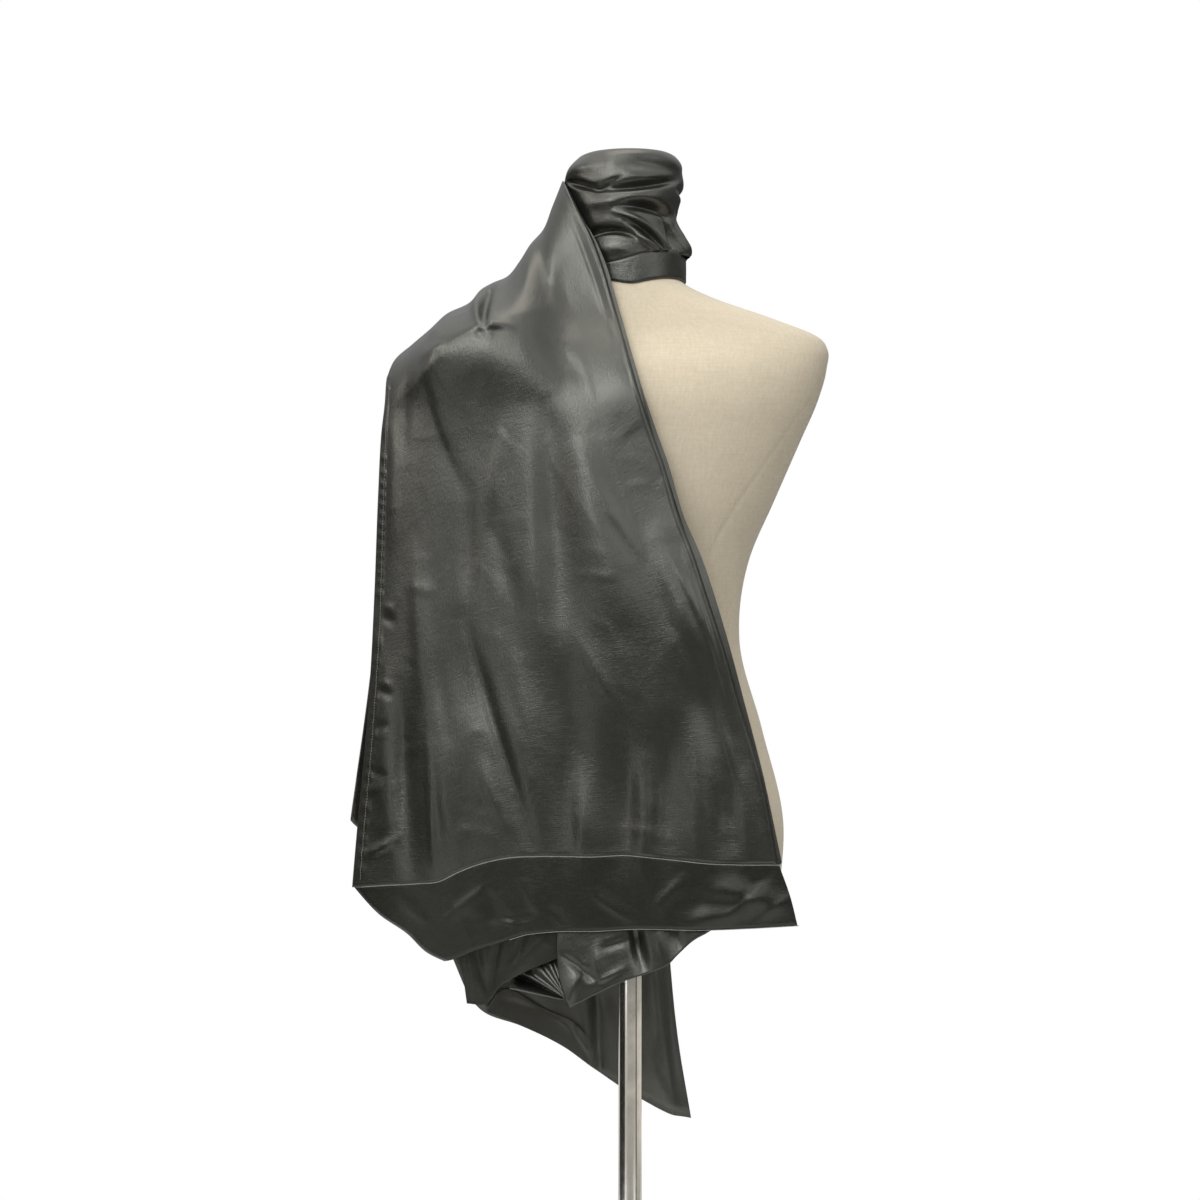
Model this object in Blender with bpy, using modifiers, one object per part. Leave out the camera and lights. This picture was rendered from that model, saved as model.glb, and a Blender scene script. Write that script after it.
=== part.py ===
"""Evening stole of charcoal satin on a limbless linen dress form.

Metres, +Z up. The origin is the middle of the base plate's underside, on the
floor. -Y is the near side: the panel with the deep hem band hangs there, over
the shoulder at -X. +Y is the far side, where the long tail hangs.
Every cloth piece is a thin wall, an open surface given its thickness. The
surfaces come from three shapes: the hang of the cloth on the near side, its
hang on the far side, and the ring of cloth round the neck.
"""
from collections import namedtuple
from math import cos, pi, radians, sin

import bmesh
import bpy
import numpy as np

COLLECTION = "evening_stole_on_dress_form"
MM = 0.001

WALL = 2.0 * MM            # satin with its turned edges, as one wall
SEAM_GAP = 0.3 * MM        # space between two pieces that are sewn together
LAYER = WALL + 0.6 * MM    # step from one layer of cloth to the next one
INNER_INWARD = WALL + 0.9 * MM
# How far inside the panel's outer face the under layer hangs: height and distance in mm.
UNDER_INWARD = ((600, 9.6), (880, 9.6), (980, 2.7), (1030, 2.7), (1090, 4.5), (1460, 4.5))
CREST_GAP = 0.7 * MM       # half the space between near and far cloth on the shoulder
ROLL = 60.0 * MM           # drop over which the cloth turns from the crest to its hang,
NECK_ROLL = 105.0 * MM     # and beside the neck, where it leans on the neck wrap
NECK_SIDE = (-0.110, -0.070)  # x between which the one drop passes into the other
ROUNDNESS = 2.5            # exponent of the cloth's rounded plan
WIDEST = 0.985             # share of the half width past which the plan goes no rounder
FORM_ROUNDNESS = 2.3       # exponent of the dress form's plan

# Dress form, from the hem up: half width, depth to the near and the far side.
Section = namedtuple("Section", "z half near far")
FORM = [Section(*row) for row in (
    (714, 160, 112, 100), (800, 165, 118, 100), (900, 142, 100, 92), (995, 118, 78, 90),
    (1080, 128, 88, 100), (1146, 156, 100, 112), (1210, 184, 108, 112), (1254, 203, 108, 102),
    (1287, 212, 98, 88), (1308, 213, 84, 74), (1319, 206, 77, 67), (1340, 156, 69, 61),
    (1362, 92, 62, 57), (1376, 62, 57, 54), (1390, 49, 48, 47), (1410, 45, 44, 44),
    (1430, 44, 43, 43))]
FORM_EDGE = 12 * MM        # rounding of the form's lower edge
NECK_START = 1340          # height in mm from which the form's levels lie closer
FOOT_GAP = 0.9 * MM        # space between the neck band's foot and the form
BUST = dict(x=82 * MM, z=1150 * MM, width=52 * MM, height=58 * MM, rise=20 * MM)

# Room that the hanging cloth takes: half width, depth to the near and the far side.
HANG = [Section(*row) for row in (
    (450, 330, 134, 128), (650, 320, 137, 138), (750, 312, 137, 144), (850, 303, 134, 148),
    (950, 295, 131, 150), (1050, 290, 129, 152), (1146, 286, 128, 152), (1200, 283, 127, 146),
    (1254, 280, 122, 124), (1300, 278, 102, 94), (1340, 270, 82, 72), (1400, 250, 68, 65),
    (1430, 235, 64, 62), (1460, 220, 61, 59), (1500, 200, 54, 54))]

# Outlines of the hanging pieces, seen square on from the near side: x and z in mm.
CREST = ((-261, 1280), (-254, 1296), (-234, 1314), (-214, 1331), (-198, 1346), (-171, 1360),
         (-160, 1373), (-148, 1380), (-132, 1387), (-119, 1403), (-107, 1422), (-94, 1437),
         (-84, 1462), (-73, 1490))
PANEL_LEFT = ((-261, 1280), (-260, 1253), (-264, 1208), (-267, 1144), (-271, 1038),
              (-274, 974), (-281, 879), (-288, 806), (-294, 735))
PANEL_SEAM = ((-294, 735), (-256, 740), (-224, 743), (-201, 746), (-181, 756), (-162, 764),
              (-123, 773), (-100, 774), (-32, 774), (-8, 775), (36, 771), (83, 766), (152, 764))
LEADING_EDGE = ((-73, 1490), (-56, 1453), (-41, 1422), (-27, 1389), (-20, 1361), (-8, 1319),
                (6, 1245), (21, 1207), (45, 1140), (63, 1086), (78, 1035), (97, 987),
                (110, 942), (118, 904), (136, 849), (152, 764))
BAND_LEFT = ((-264, 709), (-233, 690), (-213, 672), (-194, 663))
BAND_HEM = ((-194, 663), (-181, 667), (-163, 675), (-133, 685), (-108, 693), (-84, 696),
            (-32, 697), (0, 699), (74, 698), (118, 699), (172, 701))
BAND_RIGHT = ((164, 732), (172, 701))
UNDER_TOP = ((-67, 1450), (-58, 1452))
UNDER_LEFT = ((-67, 1450), (-45, 1350), (-20, 1200), (0, 1050), (-20, 900), (-60, 780),
              (-77, 691), (-69, 631), (-63, 619))
UNDER_EDGE = ((-58, 1452), (-40, 1424), (-25, 1389), (-17, 1361), (-5, 1319), (10, 1245),
              (25, 1214), (50, 1140), (69, 1093), (95, 1011), (116, 935), (134, 867),
              (156, 766))
UNDER_HEM = ((-63, 619), (-6, 646), (20, 655), (37, 662), (47, 672), (67, 689), (77, 694),
             (118, 730), (156, 766))
INNER_TOP = ((-196, 752), (-130, 758), (-72, 760))
INNER_LEFT = ((-196, 752), (-186, 700), (-176, 655), (-171, 618))
INNER_HEM = ((-171, 618), (-152, 618), (-136, 637), (-106, 655), (-74, 669))
INNER_RIGHT = ((-72, 760), (-73, 715), (-74, 669))
TAIL_LEFT = ((-261, 1280), (-266, 1200), (-274, 1080), (-285, 960), (-296, 870), (-306, 797))
TAIL_HEM = ((-306, 797), (-262, 734), (-206, 650), (-163, 573), (-122, 557), (-72, 532),
            (-31, 502), (13, 476), (48, 460), (70, 454))
TAIL_RIGHT = ((-73, 1490), (-52, 1440), (-34, 1380), (-10, 1250), (8, 1080), (24, 900),
              (40, 740), (47, 625), (58, 526), (70, 454))
TURN_UP_TOP = ((-160, 577), (-143, 598), (-100, 578), (-58, 557), (-42, 538), (-31, 512))
TURN_UP_HEM = ((-160, 574), (-122, 558), (-72, 533), (-31, 503))

# Folds of hanging cloth, as straight lines with a bow to one side, in mm: a
# ridge stands out by its height, a trough has a height below nothing.
Fold = namedtuple("Fold", "x0 z0 x1 z1 bow width height")
NEAR_FOLDS = [Fold(*row) for row in (
    (-204, 1250, -176, 1030, 10, 15, -8), (-176, 1045, -104, 815, -7, 17, -9),
    (-93, 1225, -82, 1040, 5, 19, -7), (-86, 1240, -2, 1050, -6, 27, 8),
    (-222, 1150, -218, 1040, 0, 10, 5), (-214, 880, -208, 780, 0, 13, 6),
    (-50, 900, -50, 776, 3, 14, 7), (3, 900, 3, 776, -3, 14, 7), (66, 910, 70, 776, 0, 14, 7),
    (-78, 900, -74, 778, 0, 12, -5), (-23, 900, -23, 778, 0, 12, -5), (36, 905, 36, 778, 0, 12, -5),
    (-92, 1400, -90, 1245, 0, 18, 6), (-128, 1372, -152, 1318, -5, 9, -7),
    (100, 960, 112, 790, 0, 14, -5))]
FAR_FOLDS = [Fold(*row) for row in (
    (-205, 1250, -250, 830, 10, 20, 9), (-160, 1260, -190, 720, -8, 22, -10),
    (-105, 1270, -130, 600, 10, 24, 10), (-60, 1240, -70, 560, -6, 20, -9),
    (-20, 1210, -18, 520, 6, 22, 9), (20, 900, 31, 480, 0, 14, -7), (40, 640, 53, 470, 0, 9, 5),
    (-120, 1400, -190, 1290, 8, 16, 6))]

# Ring of cloth round the neck, from the band up and over the rolled rim.
Ring = namedtuple("Ring", "z right left near far")
NECK_RING = [Ring(*row) for row in (
    (1399, 63, 64, 61, 58), (1411, 63, 66, 61, 58), (1424, 58, 67, 62, 58),
    (1438, 52, 68, 62, 57), (1449, 50, 69, 62, 57), (1460, 53, 70, 62, 58),
    (1474, 57, 68.5, 62, 59), (1489, 57, 70.6, 61, 59), (1500, 55, 65, 59, 57),
    (1508, 51, 59, 55, 53), (1513, 46, 53, 50, 48), (1515, 42, 47, 46, 44),
    (1512, 39, 43, 42, 40), (1502, 37, 41, 40, 38), (1485, 37, 41, 40, 38))]
# Folds of the ring, by angle in degrees from the near side towards +X, and z in mm.
RingFold = namedtuple("RingFold", "a0 z0 a1 z1 width height")
RING_FOLDS = [RingFold(*row) for row in (
    (-55, 1497, -33, 1482, 5, -5), (-33, 1481, 62, 1486, 6, -6), (-20, 1505, 50, 1503, 5, -3),
    (-12, 1460, 34, 1452, 9, 5), (34, 1450, 48, 1415, 8, 5), (-2, 1450, 22, 1428, 5, 4),
    (44, 1446, 62, 1418, 5, -6), (-34, 1434, 4, 1432, 6, -7), (66, 1470, 74, 1425, 6, -3),
    (110, 1485, 190, 1470, 7, -5), (120, 1452, 215, 1462, 7, -4), (100, 1425, 200, 1428, 7, 5),
    (200, 1490, 250, 1440, 8, 4))]
BAND_TOP = ((-180, 1402), (-90, 1396), (-40, 1396), (0, 1399), (35, 1404), (90, 1406), (180, 1402))
BAND_RADII = Ring(0, 60, 62, 60, 57)
FOLDED_ROWS = 9                          # rows of the ring below its rim, which have folds
FOOT_REACH = 40                          # height in mm over which the ring meets the band's top

# Pleated corner: a fan of cloth drawn together at one point.
FAN_TIP = (-65, 626)                     # x and z in mm
FAN_REACH = (9, 60)                      # first and last distance from the tip, mm
FAN_SPREAD = (172, 96)                   # degrees, counted from +X up to +Z
FAN_PLEATS = 5
FAN_DEPTH = 7 * MM
FAN_SET_BACK = 26 * MM                   # how far its wide end lies behind its tip

POLE_RADIUS = 12.5 * MM
BASE_RADIUS = 175 * MM
BASE_HEIGHT = 10 * MM
BASE_BEVEL = 3 * MM
COLLAR = dict(inner=12.8 * MM, outer=22 * MM, height=34 * MM, bevel=3 * MM)
FLANGE = dict(radius=48 * MM, height=9 * MM)


def curve_through(rows, places):
    """Points of a smooth curve through the rows (mm), at places from 0 to 1 of its length."""
    points = np.array(rows, float) * MM
    steps = np.linalg.norm(np.diff(points, axis=0), axis=1)
    length = np.concatenate(([0.0], np.cumsum(steps)))
    wanted = np.asarray(places) * length[-1]
    return np.stack([smooth_value(length, points[:, k], wanted) for k in (0, 1)], axis=-1)


def smooth_value(keys, values, at):
    """Cubic reading of a table whose keys rise, flat beyond its ends."""
    keys = np.asarray(keys, float)
    values = np.asarray(values, float)
    slopes = np.gradient(values, keys)
    at = np.clip(np.asarray(at, float), keys[0], keys[-1])
    i = np.clip(np.searchsorted(keys, at) - 1, 0, len(keys) - 2)
    step = keys[i + 1] - keys[i]
    t = (at - keys[i]) / step
    start = values[i] * (1 + 2 * t) * (1 - t) ** 2 + slopes[i] * step * t * (1 - t) ** 2
    end = values[i + 1] * t * t * (3 - 2 * t) + slopes[i + 1] * step * t * t * (t - 1)
    return start + end


def section_value(table, column, z):
    keys = [row.z * MM for row in table]
    return smooth_value(keys, [getattr(row, column) * MM for row in table], z)


def fold_rise(folds, x, z):
    """Height of the folds at x and z: soft ridges and troughs that fade at their ends."""
    rise = np.zeros(np.broadcast(x, z).shape)
    for fold in folds:
        run = np.array((fold.x1 - fold.x0, fold.z1 - fold.z0)) * MM
        length = np.hypot(*run)
        along = ((x - fold.x0 * MM) * run[0] + (z - fold.z0 * MM) * run[1]) / length ** 2
        across = ((x - fold.x0 * MM) * run[1] - (z - fold.z0 * MM) * run[0]) / length
        across = across - fold.bow * MM * 4 * along * (1 - along)
        fade = np.clip(along * 4, 0, 1) * np.clip((1 - along) * 4, 0, 1)
        fade = fade * fade * (3 - 2 * fade)
        rise = rise + fold.height * MM * fade * np.exp(-(across / (fold.width * MM)) ** 2)
    return rise


def hang(x, z, side):
    """Depth of the hanging cloth's outer face: side is "near" or "far"."""
    out = np.minimum(np.abs(x) / section_value(HANG, "half", z), WIDEST)
    round_off = (1 - out ** ROUNDNESS) ** (1 / ROUNDNESS)
    crest = curve_through(CREST, np.linspace(0, 1, 400))
    whole_drop = np.interp(x, NECK_SIDE, (ROLL, NECK_ROLL))
    drop = np.clip((np.interp(x, crest[:, 0], crest[:, 1]) - z) / whole_drop, 0, 1)
    roll = np.sqrt(1 - (1 - drop) ** 2)
    folds = NEAR_FOLDS if side == "near" else FAR_FOLDS
    rise = fold_rise(folds, x, z) * np.minimum(drop * 2, 1)
    return section_value(HANG, side, z) * round_off * roll + rise + CREST_GAP


def patch(top, bottom, left, right, columns, rows, crowd=1.0):
    """Grid of x and z inside four outlines; crowd above 1 draws its rows to the top."""
    u = np.linspace(0, 1, columns)[None, :, None]
    v = (np.linspace(0, 1, rows) ** crowd)[:, None, None]
    head = curve_through(top, u[0, :, 0])[None]
    foot = curve_through(bottom, u[0, :, 0])[None]
    port = curve_through(left, v[:, 0, 0])[:, None]
    board = curve_through(right, v[:, 0, 0])[:, None]
    corners = ((1 - u) * (1 - v) * head[:, :1] + u * (1 - v) * head[:, -1:]
               + (1 - u) * v * foot[:, :1] + u * v * foot[:, -1:])
    return (1 - v) * head + v * foot + (1 - u) * port + u * board - corners


def hanging_points(grid, side, inward):
    """Places a grid of x and z on the near or far cloth, moved in by distances."""
    depth = hang(grid[..., 0], grid[..., 1], side) - inward
    y = -depth if side == "near" else depth
    return np.stack((grid[..., 0], y, grid[..., 1]), axis=-1)


def grid_mesh(name, points, closed):
    """Open surface of quads over a grid of points; closed joins its last column to its first."""
    rows, columns = points.shape[:2]
    bm = bmesh.new()
    verts = [[bm.verts.new(point) for point in row] for row in points]
    for i in range(rows - 1):
        for j in range(columns if closed else columns - 1):
            k = (j + 1) % columns
            bm.faces.new((verts[i][j], verts[i + 1][j], verts[i + 1][k], verts[i][k]))
    mesh = bpy.data.meshes.new(name)
    bm.to_mesh(mesh)
    bm.free()
    return mesh


def add_object(name, mesh, material):
    thing = bpy.data.objects.new(name, mesh)
    mesh.materials.append(material)
    bpy.data.collections[COLLECTION].objects.link(thing)
    mesh.shade_smooth()
    return thing


def cloth(name, points, material, side="near", closed=False):
    """A wall of cloth under a grid of points, whose outer face they are."""
    if side == "far":
        points = points[:, ::-1]
    thing = add_object(name, grid_mesh(name, points, closed), material)
    wall = thing.modifiers.new("wall", "SOLIDIFY")
    wall.thickness = WALL
    wall.offset = -1.0
    return thing


def make_material(name, color, roughness, metallic=0.0):
    material = bpy.data.materials.new(name)
    material.use_nodes = True
    shader = material.node_tree.nodes["Principled BSDF"]
    shader.inputs["Base Color"].default_value = (*color, 1.0)
    shader.inputs["Roughness"].default_value = roughness
    shader.inputs["Metallic"].default_value = metallic
    material.diffuse_color = (*color, 1.0)
    return material


def rounded_plan(half_x, half_y, angle, power):
    """Point of a rounded oval at an angle from the near side towards +X."""
    across = abs(sin(angle)) ** power + abs(cos(angle)) ** power
    return (half_x * sin(angle) / across ** (1 / power),
            -half_y * cos(angle) / across ** (1 / power))


def form_point(angle, z, shrink=0.0):
    """Point of the dress form's surface, at an angle and a height."""
    half = section_value(FORM, "half", z) - shrink
    depth = section_value(FORM, "near" if cos(angle) > 0 else "far", z) - shrink
    x, y = rounded_plan(half, depth, angle, FORM_ROUNDNESS)
    if y > 0:
        spread = ((abs(x) - BUST["x"]) / BUST["width"]) ** 2
        height = ((z - BUST["z"]) / BUST["height"]) ** 2
        y += BUST["rise"] * np.exp(-spread - height) * min(1.0, y / (0.5 * depth))
    return (x, y, z)


def form_height(x, y):
    """Height of the form's shoulder or neck under a point of its plan."""
    low, high = 1.30, 1.43
    for _ in range(30):
        z = (low + high) / 2
        half = section_value(FORM, "half", z)
        depth = section_value(FORM, "near" if y < 0 else "far", z)
        inside = abs(x / half) ** FORM_ROUNDNESS + abs(y / depth) ** FORM_ROUNDNESS < 1
        low, high = (z, high) if inside else (low, z)
    return low


def make_form(material, sides=40):
    """Solid form from hips to neck, rounded at its lower edge, flat at both ends."""
    bottom = FORM[0].z * MM
    heights = [(bottom + FORM_EDGE * (1 - cos(a)), FORM_EDGE * (1 - sin(a)))
               for a in (0.0, pi / 6, pi / 3, pi / 2)]
    for low, high in zip(FORM, FORM[1:]):
        steps = 3 if low.z >= NECK_START else 1 + (high.z - low.z > 60)
        levels = np.linspace(max(low.z * MM, bottom + FORM_EDGE), high.z * MM, steps + 1)
        heights += [(z, 0.0) for z in levels[1:]]
    points = [[form_point(2 * pi * j / sides, z, shrink) for j in range(sides)]
              for z, shrink in reversed(heights)]
    mesh = grid_mesh("dress_form", np.array(points), closed=True)
    bm = bmesh.new()
    bm.from_mesh(mesh)
    bmesh.ops.holes_fill(bm, edges=[edge for edge in bm.edges if edge.is_boundary], sides=0)
    bm.to_mesh(mesh)
    bm.free()
    add_object("dress_form", mesh, material)


def ring_radius(row, angle):
    """Distance from the neck's axis: each side's radius holds at its own quarter."""
    across = row.right if sin(angle) > 0 else row.left
    deep = row.near if cos(angle) > 0 else row.far
    x, y = rounded_plan(across * MM, deep * MM, angle, 2.0)
    return np.hypot(x, y)


def ring_rise(angle, z):
    """Height of the neck ring's folds."""
    degrees = (angle * 180 / pi + 110) % 360 - 110
    rise = 0.0
    for fold in RING_FOLDS:
        along = (degrees - fold.a0) / (fold.a1 - fold.a0)
        line = fold.z0 + (fold.z1 - fold.z0) * min(max(along, 0), 1)
        fade = min(max(min(along, 1 - along) * 4 + 0.5, 0), 1)
        rise += fold.height * fade * np.exp(-((z / MM - line) / fold.width) ** 2)
    return rise * MM


def band_top(angle):
    degrees = (angle * 180 / pi + 180) % 360 - 180
    keys, heights = zip(*BAND_TOP)
    return smooth_value(keys, heights, degrees) * MM


def make_neck_wrap(material, sides=44):
    """Wound stretch: up from the band, over a soft rim and a little way down inside."""
    rows = []
    for index, row in enumerate(NECK_RING):
        points = []
        for j in range(sides):
            angle = 2 * pi * j / sides
            near_foot = max(0.0, 1 - (row.z - NECK_RING[0].z) / FOOT_REACH)
            z = row.z * MM + (band_top(angle) + SEAM_GAP - NECK_RING[0].z * MM) * near_foot
            folds = ring_rise(angle, z) if index < FOLDED_ROWS else 0.0
            radius = ring_radius(row, angle) + folds
            points.append((radius * sin(angle), -radius * cos(angle), z))
        rows.append(points)
    cloth("neck_wrap", np.array(rows)[::-1], material, closed=True)


def make_neck_band(material, sides=64, levels=2):
    """Flat band round the neck's foot, which stands on the form."""
    rows = []
    for level in range(levels):
        share = level / (levels - 1)
        points = []
        for j in range(sides):
            angle = 2 * pi * j / sides
            radius = ring_radius(BAND_RADII, angle)
            inner = radius - WALL
            foot = form_height(inner * sin(angle), -inner * cos(angle)) + FOOT_GAP
            z = band_top(angle) + (foot - band_top(angle)) * share
            points.append((radius * sin(angle), -radius * cos(angle), z))
        rows.append(points)
    cloth("neck_band", np.array(rows), material, closed=True)


def under_inward(z):
    """How far inside the panel's outer face the under layer hangs at a height."""
    heights, distances = zip(*UNDER_INWARD)
    return np.interp(z / MM, heights, distances) * MM


def make_front_cloth(material):
    """Panel over the shoulder, its deep hem band, and the layers that show under it."""
    panel = patch(CREST, PANEL_SEAM, PANEL_LEFT, LEADING_EDGE, 31, 28, crowd=1.35)
    cloth("front_panel", hanging_points(panel, "near", 0), material)

    below = tuple((x, z - SEAM_GAP / MM) for x, z in PANEL_SEAM)
    band = patch(below, BAND_HEM, below[:1] + BAND_LEFT, below[-1:] + BAND_RIGHT, 31, 4)
    cloth("front_hem_band", hanging_points(band, "near", 0), material)

    under = patch(UNDER_TOP, UNDER_HEM, UNDER_LEFT, UNDER_EDGE, 9, 32)
    cloth("under_layer", hanging_points(under, "near", under_inward(under[..., 1])), material)

    inner = patch(INNER_TOP, INNER_HEM, INNER_LEFT, INNER_RIGHT, 13, 6)
    cloth("inner_layer", hanging_points(inner, "near", INNER_INWARD), material)


def make_back_cloth(material):
    """Tail down the far side, and the hem turned up on its inner face."""
    tail = patch(CREST, TAIL_HEM, TAIL_LEFT, TAIL_RIGHT, 21, 28, crowd=1.35)
    cloth("back_panel", hanging_points(tail, "far", 0), material, side="far")

    turn_up = patch(TURN_UP_TOP, TURN_UP_HEM, (TURN_UP_TOP[0], TURN_UP_HEM[0]),
                    (TURN_UP_TOP[-1], TURN_UP_HEM[-1]), 14, 4)
    cloth("back_hem_band", hanging_points(turn_up, "far", LAYER), material, side="far")


def make_gathered_corner(material, columns=26, rows=4):
    """Fan of pleats: flat at its tip, deeper and further back towards its wide end."""
    tip_inward = under_inward(FAN_TIP[1] * MM) + LAYER
    points = []
    for reach in np.linspace(*FAN_REACH, rows):
        share = (reach - FAN_REACH[0]) / (FAN_REACH[1] - FAN_REACH[0])
        row = []
        for turn in np.linspace(0, 1, columns):
            angle = radians(FAN_SPREAD[0] + (FAN_SPREAD[1] - FAN_SPREAD[0]) * turn)
            x = (FAN_TIP[0] + reach * cos(angle)) * MM
            z = (FAN_TIP[1] + reach * sin(angle)) * MM
            tip = hang(FAN_TIP[0] * MM, FAN_TIP[1] * MM, "near") - tip_inward
            pleat = FAN_DEPTH * share * sin(2 * pi * FAN_PLEATS * turn)
            row.append((x, -(tip - FAN_SET_BACK * share + pleat), z))
        points.append(row)
    cloth("gathered_corner", np.array(points)[::-1], material)


def turned(name, profile, material, steps=40):
    """Solid or ring turned about the pole's axis from a profile of x and z, top to bottom."""
    bm = bmesh.new()
    verts = [bm.verts.new((x, 0.0, z)) for x, z in profile]
    for first, second in zip(verts, verts[1:]):
        bm.edges.new((first, second))
    mesh = bpy.data.meshes.new(name)
    bm.to_mesh(mesh)
    bm.free()
    thing = add_object(name, mesh, material)
    screw = thing.modifiers.new("turn", "SCREW")
    screw.steps = steps
    screw.render_steps = steps
    screw.use_merge_vertices = True
    screw.merge_threshold = 0.00001
    thing.data.set_sharp_from_angle(angle=radians(40))
    return thing


def make_stand(steel):
    """Round base plate, collar, pole and the flange under the form."""
    edge = BASE_RADIUS - BASE_BEVEL
    turned("base_plate", ((0, BASE_HEIGHT), (edge, BASE_HEIGHT),
                          (BASE_RADIUS, BASE_HEIGHT - BASE_BEVEL), (BASE_RADIUS, 0), (0, 0)),
           steel, steps=64)

    foot = BASE_HEIGHT + SEAM_GAP
    head = foot + COLLAR["height"]
    lip = COLLAR["outer"] - COLLAR["bevel"]
    turned("pole_collar", ((COLLAR["inner"], head), (lip, head),
                           (COLLAR["outer"], head - COLLAR["bevel"]), (COLLAR["outer"], foot),
                           (COLLAR["inner"], foot), (COLLAR["inner"], head)), steel)

    plate_top = FORM[0].z * MM - SEAM_GAP
    plate_foot = plate_top - FLANGE["height"]
    turned("form_flange", ((0, plate_top), (FLANGE["radius"], plate_top),
                           (FLANGE["radius"], plate_foot), (0, plate_foot)), steel)

    turned("pole", ((0, plate_foot - SEAM_GAP), (POLE_RADIUS, plate_foot - SEAM_GAP),
                    (POLE_RADIUS, foot), (0, foot)), steel, steps=32)


def clear_scene():
    for thing in list(bpy.data.objects):
        bpy.data.objects.remove(thing, do_unlink=True)
    collection = bpy.data.collections.new(COLLECTION)
    bpy.context.scene.collection.children.link(collection)


clear_scene()
satin = make_material("charcoal_satin", (0.085, 0.086, 0.078), 0.38)
linen = make_material("natural_linen", (0.62, 0.56, 0.44), 0.85)
polished_steel = make_material("polished_steel", (0.72, 0.71, 0.68), 0.15, metallic=1.0)
make_form(linen)
make_stand(polished_steel)
make_neck_band(satin)
make_neck_wrap(satin)
make_front_cloth(satin)
make_back_cloth(satin)
make_gathered_corner(satin)
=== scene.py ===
# %% [markdown]
# # An evening stole on a dress form
#
# The object is a charcoal satin stole, wound high round the neck of a linen
# dress form and left to hang over one shoulder. Its cloth is folded, hemmed
# and banded, and most of what the eye reads as satin is the way that soft,
# broad creases catch the light. So the lesson goes from the sizes of the
# pieces, through the surfaces that hang, to the finish of satin, linen and steel.

# %% Load the frame
from collections import namedtuple
from math import cos, pi, radians, sin

import bmesh
import bpy
import numpy as np
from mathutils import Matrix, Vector, noise


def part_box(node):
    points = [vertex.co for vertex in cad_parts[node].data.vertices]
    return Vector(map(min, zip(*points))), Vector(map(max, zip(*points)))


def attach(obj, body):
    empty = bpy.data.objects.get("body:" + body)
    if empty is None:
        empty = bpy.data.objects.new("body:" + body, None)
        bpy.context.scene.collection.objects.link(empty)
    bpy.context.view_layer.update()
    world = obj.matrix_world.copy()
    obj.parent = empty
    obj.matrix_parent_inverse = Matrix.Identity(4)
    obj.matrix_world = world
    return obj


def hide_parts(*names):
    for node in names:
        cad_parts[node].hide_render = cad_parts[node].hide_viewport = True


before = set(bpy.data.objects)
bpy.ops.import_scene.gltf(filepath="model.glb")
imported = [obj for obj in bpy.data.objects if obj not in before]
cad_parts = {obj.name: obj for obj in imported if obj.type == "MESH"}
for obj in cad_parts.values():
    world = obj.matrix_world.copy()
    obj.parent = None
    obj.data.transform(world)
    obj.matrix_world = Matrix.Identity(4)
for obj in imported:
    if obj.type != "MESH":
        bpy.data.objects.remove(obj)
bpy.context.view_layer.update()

MM = 0.001

# %% [markdown]
# ## Sizes of the real thing
#
# Every size is in millimetres in the tables and becomes metres where it is
# used. The form is a stack of rounded sections. The cloth has a table of the
# room that it takes around the form, on the near side and on the far side, and
# an outline for each piece as it is seen square on.

# %% Sizes of the form and of the hanging cloth
Section = namedtuple("Section", "z half near far")
FORM = [Section(*row) for row in (
    (714, 160, 112, 100), (800, 165, 118, 100), (900, 142, 100, 92), (995, 118, 78, 90),
    (1080, 128, 88, 100), (1146, 156, 100, 112), (1210, 184, 108, 112), (1254, 203, 108, 102),
    (1287, 212, 98, 88), (1308, 213, 84, 74), (1319, 206, 77, 67), (1340, 156, 69, 61),
    (1362, 92, 62, 57), (1376, 62, 57, 54), (1390, 49, 48, 47), (1410, 45, 44, 44),
    (1430, 44, 43, 43))]
FORM_EDGE = 12 * MM
FORM_ROUNDNESS = 2.3
BUST = dict(x=82 * MM, z=1150 * MM, width=52 * MM, height=58 * MM, rise=20 * MM)
HANG = [Section(*row) for row in (
    (450, 330, 134, 128), (650, 320, 137, 138), (750, 312, 137, 144), (850, 303, 134, 148),
    (950, 295, 131, 150), (1050, 290, 129, 152), (1146, 286, 128, 152), (1200, 283, 127, 146),
    (1254, 280, 122, 124), (1300, 278, 102, 94), (1340, 270, 82, 72), (1400, 250, 68, 65),
    (1430, 235, 64, 62), (1460, 220, 61, 59), (1500, 200, 54, 54))]
HANG_ROUNDNESS = 2.5
ROLL = 60 * MM
NECK_ROLL = 105 * MM
NECK_SIDE = (-0.110, -0.070)
TIP_SLOPE = 2.4            # rise of the crest at its tip, which fades over the length below
TIP_FADE = 12 * MM
SHOULDER_FILL = 35 * MM    # how much higher the cloth is already full, outside the neck
FILL_EDGE = (-66 * MM, 50 * MM)
SHEET = 1.1 * MM           # satin as a thin shell
CREST = ((-261, 1280), (-254, 1296), (-234, 1314), (-214, 1331), (-198, 1346), (-171, 1360),
         (-160, 1373), (-148, 1380), (-132, 1387), (-119, 1403), (-107, 1422), (-94, 1437),
         (-84, 1462), (-73, 1490))
PANEL_LEFT = ((-261, 1280), (-260, 1253), (-264, 1208), (-267, 1144), (-271, 1038),
              (-274, 974), (-281, 879), (-288, 806), (-294, 735))
PANEL_SEAM = ((-294, 735), (-256, 740), (-224, 743), (-201, 746), (-181, 756), (-162, 764),
              (-123, 773), (-100, 774), (-32, 774), (-8, 775), (36, 771), (83, 766), (152, 764))
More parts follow.
